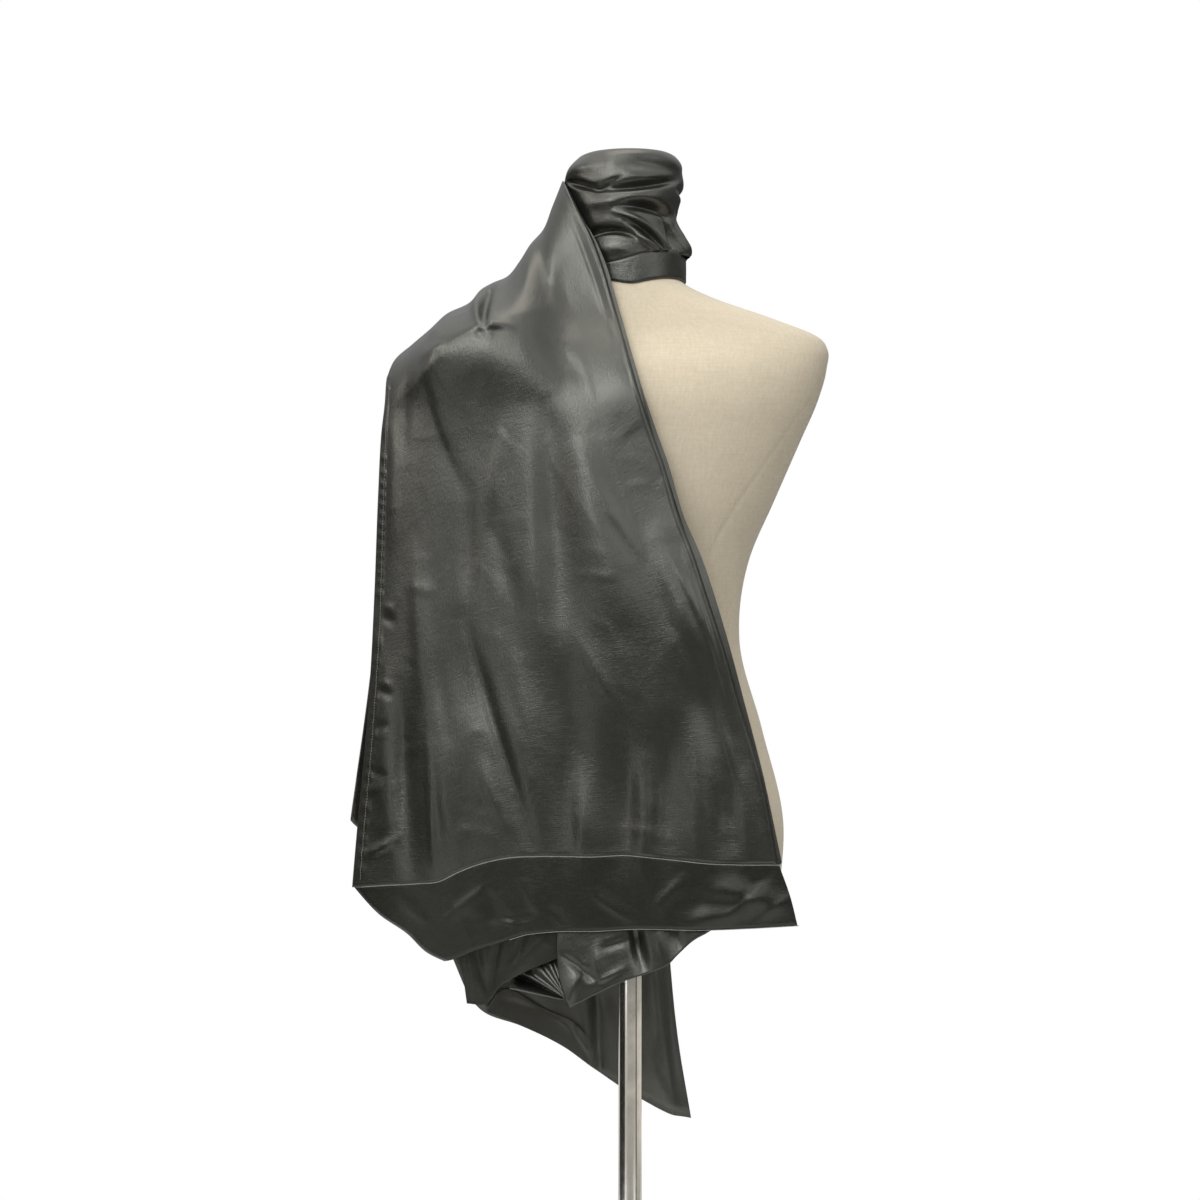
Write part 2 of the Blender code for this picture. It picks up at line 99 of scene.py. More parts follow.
LEADING_EDGE = ((-73, 1490), (-56, 1453), (-41, 1422), (-29, 1389), (-21, 1361), (-10, 1320),
                (5, 1263), (19, 1218), (33, 1179), (50, 1122), (65, 1082), (80, 1036),
                (97, 983), (111, 932), (136, 849), (152, 764))
BAND_LEFT = ((-264, 709), (-233, 690), (-213, 672), (-194, 663))
BAND_HEM = ((-194, 663), (-181, 667), (-163, 675), (-133, 685), (-108, 693), (-84, 696),
            (-32, 697), (0, 699), (74, 698), (118, 699), (172, 701))
BAND_RIGHT = ((164, 732), (172, 701))
UNDER_TOP = ((-67, 1450), (-58, 1452))
UNDER_LEFT = ((-67, 1450), (-45, 1350), (-20, 1200), (0, 1050), (-20, 900), (-60, 780),
              (-77, 691), (-69, 631), (-63, 619))
UNDER_EDGE = ((-58, 1452), (-40, 1424), (-25, 1389), (-17, 1361), (-6, 1320), (9, 1264),
              (24, 1218), (38, 1179), (55, 1122), (69, 1090), (95, 1011), (116, 935), (134, 867),
              (156, 766))
UNDER_HEM = ((-63, 619), (-6, 646), (20, 655), (37, 662), (47, 672), (67, 689), (77, 694),
             (118, 730), (156, 766))
UNDER_INWARD = ((615, 2.6), (650, 5.0), (700, 9.6), (880, 9.6), (980, 2.7), (1030, 2.7), (1090, 4.5), (1460, 4.5))
INNER_TOP = ((-196, 752), (-130, 758), (-72, 760))
INNER_LEFT = ((-196, 752), (-186, 700), (-176, 655), (-171, 618))
INNER_HEM = ((-171, 618), (-152, 618), (-136, 637), (-106, 655), (-74, 669))
INNER_RIGHT = ((-72, 760), (-73, 715), (-74, 669))
TAIL_LEFT = ((-261, 1280), (-266, 1200), (-274, 1080), (-285, 960), (-296, 870), (-306, 797))
TAIL_HEM = ((-306, 797), (-262, 734), (-206, 650), (-163, 573), (-122, 557), (-72, 532),
            (-31, 502), (13, 476), (48, 460), (70, 454))
TAIL_RIGHT = ((-73, 1490), (-52, 1440), (-34, 1380), (-10, 1250), (8, 1080), (24, 900),
              (40, 740), (47, 625), (58, 526), (70, 454))
TURN_UP_TOP = ((-160, 577), (-143, 598), (-100, 578), (-58, 557), (-42, 538), (-31, 512))
TURN_UP_HEM = ((-160, 574), (-122, 558), (-72, 533), (-31, 503))
print("form sections:", len(FORM), "hanging cloth sections:", len(HANG))

# %% [markdown]
# ## Creases
#
# A crease is a soft ridge or trough along a slightly bowed line: its two ends,
# its bow, its width, and a height that is negative for a trough. The lean
# makes one side steeper, as a fold that tips over has, and a sharp one has an
# edge in place of a rounded top. All were placed one by one,
# uneven in length and depth. The large folds come first, then the small ones
# that only the finer mesh can hold.

# %% Tables of creases
Fold = namedtuple("Fold", "x0 z0 x1 z1 bow width height lean sharp", defaults=(1.0, 0.0))
NEAR_FOLDS = [Fold(*row) for row in (
    (-268, 1275, -62, 1343, -12, 26, 20, 2.2, 0.3), (-150, 1000, 210, 1000, 0, 120, 13),
    (-236, 908, -66, 880, 0, 48, 7, 2.0),     (-60, 1330, 60, 1230, 0, 40, 5),
    (-222, 1290, -166, 1140, 8, 6, -3.5, 4.0, 0.4), (-168, 1180, -171, 995, -3, 6, -4, 1.6),
    (-180, 1050, -84, 742, 3, 8, -8, 4.5, 0.5), (-222, 1110, -212, 900, 4, 14, 5, 0.6),
    (-92, 1275, -66, 985, -6, 20, -8), (-112, 1245, -94, 940, 0, 16, 6, 1.4), (-76, 1250, -2, 1000, 4, 27, 10, 1.3),
    (-76, 1010, -40, 800, 4, 22, -6), (20, 1120, 66, 930, -6, 20, 5, 0.7),
    (60, 1010, 104, 850, 4, 20, -5), (-74, 900, -64, 745, 0, 12, -4), (-48, 880, -47, 745, 3, 15, 5, 0.6),
    (-6, 925, -10, 745, -2, 14, -7, 1.3), (12, 890, 11, 745, -2, 15, 5, 0.7),
    (38, 930, 32, 745, 3, 14, -7), (66, 930, 72, 745, 0, 18, 7, 0.7),
    (94, 880, 98, 745, -2, 12, -4.5), (116, 880, 124, 745, 0, 12, 3, 0.7),
    (-258, 1010, -250, 745, 3, 12, 4), (-238, 960, -226, 730, 3, 15, -9, 0.7), (-212, 930, -204, 740, 1, 5, 2.5, 0.6),
    (-196, 900, -182, 770, 4, 16, 4, 0.7))]
NEAR_CREASES = [Fold(*row) for row in (
    (-78, 1480, -10, 1285, -3, 6, 2.0, 0.5), (-160, 1390, -146, 1306, 10, 4.5, 11),
    (-164, 1324, -118, 1319, -3, 5, 3.5), (-143, 1392, -156, 1308, 1, 6.5, -17),
    (-136, 1380, -146, 1312, 5, 3.5, 7), (-16, 1350, 30, 1178, -2, 2.5, 1.2, 0.6),
    (16, 1228, 78, 1030, -2, 2.5, 1.2, 0.6), (50, 1100, 108, 900, -2, 2.5, 1.2, 0.6),
    (-95, 1430, -86, 1345, 0, 5, -3, 2.0), (-215, 1352, -200, 1310, 4, 7, 4),
    (-222, 1288, -190, 1306, -3, 5, 3), (-196, 1300, -128, 1324, -8, 6, 3.5),
    (-100, 1330, -40, 1260, 4, 8, -1.6), (-190, 1340, -235, 1250, -6, 9, 3.0, 0.5),
    (-228, 1300, -240, 1180, 4, 8, -3.0), (-245, 1240, -250, 1080, 2, 7, 2.2),
    (-130, 1230, -150, 1100, 4, 9, 2.6, 0.5), (-150, 1160, -110, 1010, 4, 10, -2.6),
    (-50, 1180, 20, 1070, 3, 8, 2.0, 0.5), (-60, 1010, -10, 920, 4, 9, 2.2, 0.5),
    (-128, 1010, -100, 900, 4, 11, 2.0, 0.6), (-200, 990, -186, 880, 3, 8, -2.0),
    (30, 1060, 78, 950, 4, 9, -2.2), (36, 1090, 92, 970, -2, 7, 2.4, 0.5),
    (84, 950, 112, 840, 2, 6, 2.4, 0.5), (-160, 880, -120, 790, 4, 9, 2.6, 0.6),
    (-286, 768, -240, 792, 3, 5, 4.0, 0.5), (-178, 1030, -92, 750, 2, 4, -2.4, 0.6),
    (-264, 1020, -244, 1014, 0, 4, -2.2), (-262, 1032, -246, 1028, 0, 3, 1.6),
    (-270, 944, -246, 937, 0, 4, -2.2), (-266, 952, -248, 948, 0, 3, 1.6),
    (-272, 902, -250, 908, 0, 4, -2.0), (-278, 860, -252, 852, 0, 4, -2.2),
    (-280, 838, -256, 842, 0, 3, 1.8), (-240, 1054, -200, 1046, 0, 6, 0.9),
    (-200, 800, -130, 790, -4, 6, 1.0), (-180, 830, -120, 812, -3, 5, -0.8),
    (-64, 1064, -4, 1062, 1, 4, 0.9, 0.5), (-20, 800, 40, 790, -5, 5, 1.2),
    (-60, 790, 0, 782, 4, 4, -1.0))]
BAND_CREASES = [Fold(*row) for row in (
    (-136, 754, -210, 688, 3, 9, 2.8, 0.5), (-245, 735, -205, 700, 2, 7, -1.8),
    (-150, 756, -135, 696, 2, 9, -2.0), (-118, 764, -84, 700, 3, 10, 1.8, 0.5),
    (-88, 728, -58, 692, 2, 8, -2.4), (-50, 745, 10, 705, 3, 10, 2.0, 0.5),
    (62, 760, 16, 710, 2, 9, 2.2, 0.6), (84, 762, 60, 702, 1, 9, -1.8),
    (152, 754, 90, 706, 0, 8, 2.6, 0.6), (170, 738, 120, 700, 0, 7, 2.2, 0.6),
    (134, 756, 104, 704, 1, 8, -2.4), (-190, 706, -60, 722, 3, 6, -1.0),
    (176, 716, 60, 744, 4, 13, 7.0), (40, 706, 150, 728, 3, 11, 5.5),
    (-136, 708, -118, 703, 0, 3, 1.2))]
UNDER_CREASES = [Fold(*row) for row in (
    (-50, 666, -68, 612, 0, 3.5, 6.0, 3.0, 0.3), (-75, 676, -31, 641, 0, 3, -5.0, 1.0, 0.3),
    (-34, 690, -30, 640, 4, 9, 2.6, 0.5), (-52, 640, 0, 664, 3, 4, 1.6, 0.5),
    (2, 714, 15, 648, 2, 6.5, -13.0), (26, 708, 34, 660, 1, 6, 2.5, 0.5),
    (44, 712, 54, 668, 2, 7, -5.0), (70, 730, 92, 700, 2, 6, 3.0), (-40, 676, 6, 690, 0, 4, -1.6))]
INNER_CREASES = [Fold(*row) for row in (
    (-166, 700, -146, 622, 2, 4, -3.0), (-130, 712, -149, 622, 2, 5, -3.0),
    (-150, 715, -148, 636, 0, 6, 1.2), (-176, 700, -164, 618, -2, 4, 1.6, 0.5),
    (-70, 706, -150, 616, 5, 9, 2.2, 0.6), (-100, 716, -124, 652, 2, 5, -2.5))]
FAR_FOLDS = [Fold(*row) for row in (
    (-205, 1250, -250, 830, 10, 20, 9, 0.7), (-160, 1260, -190, 720, -8, 22, -10),
    (-105, 1270, -130, 600, 10, 24, 10, 0.7), (-60, 1240, -70, 560, -6, 20, -9),
    (-20, 1210, -18, 520, 6, 22, 9, 0.7), (20, 900, 31, 480, 0, 14, -7),
    (40, 640, 53, 470, 0, 9, 5), (-120, 1400, -190, 1290, 8, 16, 6))]
FAR_CREASES = [Fold(*row) for row in (
    (-230, 1200, -262, 900, 6, 10, -3.5), (-180, 1290, -215, 1050, 5, 9, 3.5, 0.5),
    (-140, 1330, -150, 1150, 6, 9, -3.0), (-90, 1330, -95, 1120, -5, 9, 3.5, 0.5),
    (-50, 1380, -35, 1180, 4, 8, -2.5), (-220, 1000, -240, 800, 4, 10, 3.5, 0.5),
    (-150, 950, -165, 700, 5, 10, 3.8, 0.5), (-90, 980, -100, 700, 4, 10, -3.6),
    (-40, 950, -45, 640, 4, 10, 3.5, 0.5), (5, 1000, 8, 650, 3, 9, -3.0),
    (-215, 720, -185, 640, 3, 8, 2.6), (-150, 640, -60, 570, 4, 7, -2.4),
    (-130, 600, -40, 550, 3, 6, 2.2, 0.5), (-60, 640, -10, 540, 3, 7, 3.5, 0.5),
    (8, 760, 70, 330, 0, 14, -14, 1.8, 0.8), (0, 562, 66, 440, 0, 12, -9, 1.4, 0.8),
    (-42, 680, -27, 460, 0, 22, 13, 0.45), (-150, 590, -90, 572, 2, 6, 1.6, 0.5),
    (-110, 596, -60, 548, -2, 5, -2), (-70, 572, -40, 520, 2, 5, 2, 0.5))]
print("creases on hanging cloth:", sum(map(len, (NEAR_FOLDS, NEAR_CREASES, BAND_CREASES,
                                                 UNDER_CREASES, FAR_FOLDS, FAR_CREASES))))

# %% [markdown]
# ## Reading the tables
#
# A cubic reading keeps the form and the hems smooth between the few rows that
# were measured. The same helper runs along an outline by its length, so that
# points are spread evenly however the rows are spaced.

# %% Smooth tables and outlines
def smooth_value(keys, values, at):
    """Cubic reading of a table whose keys rise, flat beyond its ends."""
    keys = np.asarray(keys, float)
    values = np.asarray(values, float)
    slopes = np.gradient(values, keys)
    at = np.clip(np.asarray(at, float), keys[0], keys[-1])
    i = np.clip(np.searchsorted(keys, at) - 1, 0, len(keys) - 2)
    step = keys[i + 1] - keys[i]
    t = (at - keys[i]) / step
    start = values[i] * (1 + 2 * t) * (1 - t) ** 2 + slopes[i] * step * t * (1 - t) ** 2
    end = values[i + 1] * t * t * (3 - 2 * t) + slopes[i + 1] * step * t * t * (t - 1)
    return start + end


def curve_through(rows, places):
    points = np.array(rows, float) * MM
    steps = np.linalg.norm(np.diff(points, axis=0), axis=1)
    length = np.concatenate(([0.0], np.cumsum(steps)))
    wanted = np.asarray(places) * length[-1]
    return np.stack([smooth_value(length, points[:, k], wanted) for k in (0, 1)], axis=-1)


def section_value(table, column, z):
    keys = [row.z * MM for row in table]
    return smooth_value(keys, [getattr(row, column) * MM for row in table], z)


def patch(top, bottom, left, right, columns, rows, crowd=1.0):
    """Grid of x and z inside four outlines, its columns closer beside the two edges.

    A crowd above 1 draws the rows to the top.
    """
    u = np.linspace(0, 1, columns)
    u = (0.5 * u + 0.25 * (1 - np.cos(pi * u)))[None, :, None]
    v = (np.linspace(0, 1, rows) ** crowd)[:, None, None]
    head = curve_through(top, u[0, :, 0])[None]
    foot = curve_through(bottom, u[0, :, 0])[None]
    port = curve_through(left, v[:, 0, 0])[:, None]
    board = curve_through(right, v[:, 0, 0])[:, None]
    corners = ((1 - u) * (1 - v) * head[:, :1] + u * (1 - v) * head[:, -1:]
               + (1 - u) * v * foot[:, :1] + u * v * foot[:, -1:])
    return (1 - v) * head + v * foot + (1 - u) * port + u * board - corners


print("crest length in mm:", round(float(np.sum(np.linalg.norm(
    np.diff(curve_through(CREST, np.linspace(0, 1, 50)), axis=0), axis=1))) / MM))

# %% [markdown]
# ## How the cloth hangs
#
# Hanging satin turns over the shoulder in a soft arc, and below it falls
# almost straight from what stands out most. So its depth is a rounded plan,
# times an arc near the crest, plus the creases, plus an unevenness too small
# to place by hand. That unevenness is stretched downwards, as the pull of
# cloth's own weight makes it.

# %% Depth of the hanging cloth
def fold_rise(folds, x, z):
    """Height of the creases at x and z, with soft ends."""
    rise = np.zeros(np.broadcast(x, z).shape)
    for fold in folds:
        run = np.array((fold.x1 - fold.x0, fold.z1 - fold.z0)) * MM
        length = np.hypot(*run)
        along = ((x - fold.x0 * MM) * run[0] + (z - fold.z0 * MM) * run[1]) / length ** 2
        across = ((x - fold.x0 * MM) * run[1] - (z - fold.z0 * MM) * run[0]) / length
        across = across - fold.bow * MM * 4 * along * (1 - along)
        width = fold.width * MM * np.where(across > 0, fold.lean, 1.0)
        fade = np.sin(pi * np.clip(along, 0, 1)) ** 1.3
        rise = rise + fold.height * MM * fade * np.exp(-np.abs(across / width) ** (2 - fold.sharp))
    return rise


def soft_step(value):
    value = np.clip(value, 0, 1)
    return value * value * (3 - 2 * value)


def blend_weights(t):
    """Weights of four neighbours that make a smooth blend, at t between the middle two."""
    return ((1 - t) ** 3 / 6, (3 * t ** 3 - 6 * t ** 2 + 4) / 6,
            (-3 * t ** 3 + 3 * t ** 2 + 3 * t + 1) / 6, t ** 3 / 6)


def uneven(x, z, wide, tall, seed):
    """Soft noise between about -1 and 1, from random values on cells of a width and height."""
    cells = np.random.default_rng(seed).uniform(-1, 1, (128, 128))
    across, down = x / wide, z / tall
    i, j = np.floor(across).astype(int), np.floor(down).astype(int)
    rise = 0
    for a, share in enumerate(blend_weights(across - i)):
        for b, part in enumerate(blend_weights(down - j)):
            rise = rise + share * part * cells[(i + a) % 128, (j + b) % 128]
    return 2.2 * rise


def crumple(x, z, seed):
    """Unevenness of hanging satin in metres: slow waves, ripples and a few sharper pulls."""
    waves = 1.7 * uneven(x + 0.15 * z, z, 0.045, 0.20, seed)
    ripple = 0.5 * uneven(x - 0.2 * z, z, 0.018, 0.07, seed + 1)
    pulls = 1 - np.abs(uneven(x + 0.3 * z, z, 0.03, 0.11, seed + 2)) * 2.5
    slant = 0.45 * uneven(0.8 * x + 0.6 * z, 0.8 * z - 0.6 * x, 0.03, 0.05, seed + 3)
    return (waves + ripple + slant + 0.45 * np.clip(pulls, 0, 1) ** 2) * MM


def crest_height(x):
    """Height of the crest over x, carried on in a soft bend beyond its tip."""
    crest = curve_through(CREST, np.linspace(0, 1, 400))
    past = np.maximum(x - crest[-1, 0], 0)
    bend = TIP_SLOPE * TIP_FADE * (1 - np.exp(-past / TIP_FADE))
    return np.interp(x, crest[:, 0], crest[:, 1]) + bend


def hang(x, z, side, creases=(), seed=1):
    """Depth of the hanging cloth's outer face: side is "near" or "far"."""
    out = np.minimum(np.abs(x) / section_value(HANG, "half", z), 0.985)
    round_off = (1 - out ** HANG_ROUNDNESS) ** (1 / HANG_ROUNDNESS)
    whole_drop = np.interp(x, NECK_SIDE, (ROLL, NECK_ROLL))
    drop = np.clip((crest_height(x) - z) / whole_drop, 0, 1)
    roll = np.sqrt(1 - (1 - drop) ** 2)
    fill = SHOULDER_FILL * soft_step((FILL_EDGE[0] - x) / FILL_EDGE[1]) * (side == "near")
    folds = NEAR_FOLDS if side == "near" else FAR_FOLDS
    rise = fold_rise(folds, x, z) + fold_rise(creases, x, z) + crumple(x, z, seed)
    return section_value(HANG, side, z - fill) * round_off * roll + rise * np.minimum(drop * 4, 1)


def hanging_points(grid, side, inward=0.0, creases=(), seed=1):
    depth = hang(grid[..., 0], grid[..., 1], side, creases, seed) - inward
    y = -depth if side == "near" else depth
    return np.stack((grid[..., 0], y, grid[..., 1]), axis=-1)


sample = np.linspace(-0.25, 0.10, 8)
print("near depth across the panel at chest height, mm:",
      np.round(hang(sample, np.full(8, 1.15), "near") / MM))

# %% [markdown]
# ## From a grid of points to a piece of cloth
#
# Each stretch is a grid of quads with a UV map in real metres, measured along
# its own rows and columns, so that the weave follows the cloth and not the
# room. Solidify then gives it the thickness of satin. The outer face is the
# one that the grid describes.

# %% Grids, UVs and thickness
def grid_object(name, points, material, closed=False, thickness=SHEET, turned=False, back=None):
    if turned:
        points = points[:, ::-1]
    rows, columns = points.shape[:2]
    across = np.linalg.norm(np.diff(points, axis=1), axis=2).mean(axis=0)
    down = np.linalg.norm(np.diff(points, axis=0), axis=2).mean(axis=1)
    u = np.concatenate(([0.0], np.cumsum(across)))
    v = np.concatenate(([0.0], np.cumsum(down)))
    if closed:
        u = np.append(u, u[-1] + across.mean())
    bm = bmesh.new()
    layer = bm.loops.layers.uv.new("cloth")
    verts = [[bm.verts.new(point) for point in row] for row in points]
    for i in range(rows - 1):
        for j in range(columns if closed else columns - 1):
            k = (j + 1) % columns
            face = bm.faces.new((verts[i][j], verts[i + 1][j], verts[i + 1][k], verts[i][k]))
            places = ((j, i), (j, i + 1), (j + 1, i + 1), (j + 1, i))
            for loop, (a, b) in zip(face.loops, places):
                loop[layer].uv = (u[a], v[b])
    mesh = bpy.data.meshes.new(name)
    bm.to_mesh(mesh)
    bm.free()
    mesh.materials.append(material)
    mesh.shade_smooth()
    thing = bpy.data.objects.new(name, mesh)
    bpy.context.scene.collection.objects.link(thing)
    if thickness:
        wall = thing.modifiers.new("cloth", "SOLIDIFY")
        wall.thickness = thickness
        wall.offset = -1.0
        if back:
            mesh.materials.append(back)
            wall.material_offset = 1
    return thing


def sheet_area(thing):
    """Area of one face of a cloth piece, in square metres."""
    return sum(face.area for face in thing.data.polygons)


# %% [markdown]
# ## Shader groups
#
# Two effects serve more than one cloth, so each is a node group with named
# sockets. The first is a weave: two sets of threads that cross, read from the
# UV map in metres. The second is handling: faint crumples and a slow change of
# tone, such as a cloth has that was folded, hung and touched.

# %% Node helpers and the weave group
def add_node(tree, kind, label="", **settings):
    node = tree.nodes.new(kind)
    node.label = label
    for key, value in settings.items():
        setattr(node, key, value)
    return node


def math_node(tree, operation, first, second=None, clamp=False):
    node = add_node(tree, "ShaderNodeMath", operation=operation, use_clamp=clamp)
    for socket, value in zip(node.inputs, (first, second)):
        if isinstance(value, bpy.types.NodeSocket):
            tree.links.new(value, socket)
        elif value is not None:
            socket.default_value = value
    return node.outputs[0]


def new_group(name, inputs, outputs):
    tree = bpy.data.node_groups.new(name, "ShaderNodeTree")
    for label, kind, value in inputs:
        socket = tree.interface.new_socket(label, in_out="INPUT", socket_type=kind)
        if value is not None:
            socket.default_value = value
    for label, kind in outputs:
        tree.interface.new_socket(label, in_out="OUTPUT", socket_type=kind)
    return tree, add_node(tree, "NodeGroupInput"), add_node(tree, "NodeGroupOutput")


def make_weave_group():
    tree, given, result = new_group(
        "crossed_threads",
        [("Place", "NodeSocketVector", None), ("Threads per metre", "NodeSocketFloat", 900.0),
         ("Slub size", "NodeSocketFloat", 1.0),
         ("Unevenness", "NodeSocketFloat", 0.3), ("Float", "NodeSocketFloat", 1.0)],
        [("Height", "NodeSocketFloat"), ("Slub", "NodeSocketFloat")])
    split = add_node(tree, "ShaderNodeSeparateXYZ")
    wander = add_node(tree, "ShaderNodeTexNoise", "thread wander")
    wander.inputs["Scale"].default_value = 40.0
    tree.links.new(given.outputs["Place"], wander.inputs["Vector"])
    tree.links.new(given.outputs["Place"], split.inputs[0])
    shift = math_node(tree, "MULTIPLY", wander.outputs["Fac"], given.outputs["Unevenness"])
    turns = math_node(tree, "MULTIPLY", given.outputs["Threads per metre"], 2 * pi)
    threads = []
    for axis in (0, 1):
        phase = math_node(tree, "MULTIPLY", split.outputs[axis], turns)
        phase = math_node(tree, "ADD", phase, math_node(tree, "MULTIPLY", shift, 6.0))
        threads.append(math_node(tree, "SINE", phase))
    crossing = math_node(tree, "MULTIPLY", threads[0], threads[1])
    straight = math_node(tree, "MULTIPLY", threads[1], given.outputs["Float"])
    height = math_node(tree, "ADD", math_node(tree, "MULTIPLY", crossing, 0.5), straight)
    tree.links.new(height, result.inputs["Height"])

    slubs = []
    fineness = math_node(tree, "DIVIDE", 1.0, given.outputs["Slub size"])
    for label, lengths in (("slubs across", (70.0, 900.0, 1.0)), ("slubs down", (900.0, 90.0, 1.0))):
        stretch = add_node(tree, "ShaderNodeVectorMath", label, operation="MULTIPLY")
        stretch.inputs[1].default_value = lengths
        tree.links.new(given.outputs["Place"], stretch.inputs[0])
        slub = add_node(tree, "ShaderNodeTexNoise", label)
        tree.links.new(fineness, slub.inputs["Scale"])
        slub.inputs["Detail"].default_value = 3.0
        tree.links.new(stretch.outputs[0], slub.inputs["Vector"])
        slubs.append(slub.outputs["Fac"])
    both = math_node(tree, "MULTIPLY", math_node(tree, "ADD", *slubs), 0.5)
    tree.links.new(both, result.inputs["Slub"])
    return tree


WEAVE = make_weave_group()
print("weave group sockets:", [item.name for item in WEAVE.interface.items_tree])

# %% The handling group
def make_handling_group():
    tree, given, result = new_group(
        "handling",
        [("Place", "NodeSocketVector", None), ("Crumple size", "NodeSocketFloat", 30.0)],
        [("Crumple", "NodeSocketFloat"), ("Tone", "NodeSocketFloat"), ("Grain", "NodeSocketFloat")])
    creases = add_node(tree, "ShaderNodeTexNoise", "crumples")
    creases.noise_type = "RIDGED_MULTIFRACTAL"
    creases.inputs["Detail"].default_value = 4.0
    creases.inputs["Roughness"].default_value = 0.45
    creases.inputs["Distortion"].default_value = 0.6
    tree.links.new(given.outputs["Place"], creases.inputs["Vector"])
    tree.links.new(given.outputs["Crumple size"], creases.inputs["Scale"])
    tree.links.new(creases.outputs["Fac"], result.inputs["Crumple"])
    tone = add_node(tree, "ShaderNodeTexNoise", "slow change of tone")
    tone.inputs["Scale"].default_value = 6.0
    tone.inputs["Detail"].default_value = 3.0
    tree.links.new(given.outputs["Place"], tone.inputs["Vector"])
    tree.links.new(tone.outputs["Fac"], result.inputs["Tone"])
    squeeze = add_node(tree, "ShaderNodeVectorMath", "grain drawn down the cloth",
                       operation="MULTIPLY")
    squeeze.inputs[1].default_value = (1.0, 1.0, 0.7)
    tree.links.new(given.outputs["Place"], squeeze.inputs[0])
    grain = add_node(tree, "ShaderNodeTexNoise", "grain")
    grain.inputs["Scale"].default_value = 340.0
    grain.inputs["Detail"].default_value = 5.0
    grain.inputs["Roughness"].default_value = 0.65
    tree.links.new(squeeze.outputs[0], grain.inputs["Vector"])
    tree.links.new(grain.outputs["Fac"], result.inputs["Grain"])
    return tree


HANDLING = make_handling_group()

# %% [markdown]
# ## Satin
#
# Satin is dark grey with a warm, slightly green cast. Its long floating threads
# give one broad highlight, softer than a metal's and brighter than plain
# cloth's. A middling roughness, a little sheen at grazing angles and fine
# crumples in the normal give that. The hem band and the inner stretch take a
# copy with half the shine, which mirrors less: painted shade, so that these low
# and tucked-in pieces read darker. The inside of the cloth shows the duller back
# of the weave.

# %% Satin material
def start_material(name, color, roughness, metallic=0.0):
    material = bpy.data.materials.new(name)
    material.use_nodes = True
    tree = material.node_tree
    shader = tree.nodes["Principled BSDF"]
    shader.inputs["Base Color"].default_value = (*color, 1.0)
    shader.inputs["Roughness"].default_value = roughness
    shader.inputs["Metallic"].default_value = metallic
    return material, tree, shader


def place_group(tree, group, **values):
    node = add_node(tree, "ShaderNodeGroup", group.name)
    node.node_tree = group
    for key, value in values.items():
        node.inputs[key.replace("_", " ")].default_value = value
    return node


def mix_colors(tree, factor, first, second):
    mix = add_node(tree, "ShaderNodeMix", data_type="RGBA")
    tree.links.new(factor, mix.inputs["Factor"])
    mix.inputs["A"].default_value = (*first, 1.0)
    mix.inputs["B"].default_value = (*second, 1.0)
    return mix.outputs["Result"]


def bump(tree, height, strength, distance, under=None):
    node = add_node(tree, "ShaderNodeBump")
    node.inputs["Strength"].default_value = strength
    node.inputs["Distance"].default_value = distance
    tree.links.new(height, node.inputs["Height"])
    if under:
        tree.links.new(under, node.inputs["Normal"])
    return node.outputs["Normal"]


def make_satin(name, dark, light, roughness, shine):
    material, tree, shader = start_material(name, dark, roughness)
    places = add_node(tree, "ShaderNodeTexCoord")
    weave = place_group(tree, WEAVE, Threads_per_metre=1400.0, Unevenness=0.2, Float=1.0)
    handling = place_group(tree, HANDLING, Crumple_size=26.0)
    tree.links.new(places.outputs["UV"], weave.inputs["Place"])
    tree.links.new(places.outputs["Object"], handling.inputs["Place"])
    tone = math_node(tree, "MULTIPLY", handling.outputs["Grain"], 0.6)
    tone = math_node(tree, "ADD", tone, math_node(tree, "MULTIPLY", handling.outputs["Tone"], 0.4))
    tree.links.new(mix_colors(tree, tone, dark, light), shader.inputs["Base Color"])
    rough = math_node(tree, "MULTIPLY", handling.outputs["Tone"], 0.16)
    rough = math_node(tree, "ADD", rough, roughness - 0.08)
    tree.links.new(rough, shader.inputs["Roughness"])
    crumples = bump(tree, handling.outputs["Crumple"], 0.5, 0.0018)
    grain = bump(tree, handling.outputs["Grain"], 0.4, 0.0006, under=crumples)
    slubs = bump(tree, weave.outputs["Slub"], 0.9, 0.0004, under=grain)
    threads = bump(tree, weave.outputs["Height"], 0.12, 0.0001, under=slubs)
    tree.links.new(threads, shader.inputs["Normal"])
    shader.inputs["Specular IOR Level"].default_value = shine
    shader.inputs["Specular Tint"].default_value = (0.98, 0.985, 0.90, 1.0)
    shader.inputs["Sheen Weight"].default_value = 0.02
    shader.inputs["Sheen Roughness"].default_value = 0.4
    shader.inputs["Sheen Tint"].default_value = (0.80, 0.78, 0.72, 1.0)
    return material


SATIN = make_satin("charcoal_satin", (0.004, 0.0043, 0.0036), (0.013, 0.013, 0.011), 0.34, 1.0)
# A copy of the satin with half the shine: painted shade on the hem band and the inner stretch.
SATIN_SHADED = make_satin("satin_painted_shade", (0.004, 0.0043, 0.0036), (0.013, 0.013, 0.011),
                          0.36, 0.5)
SATIN_BACK = make_satin("satin_reverse", (0.010, 0.0105, 0.0088), (0.028, 0.028, 0.0235), 0.42, 1.0)
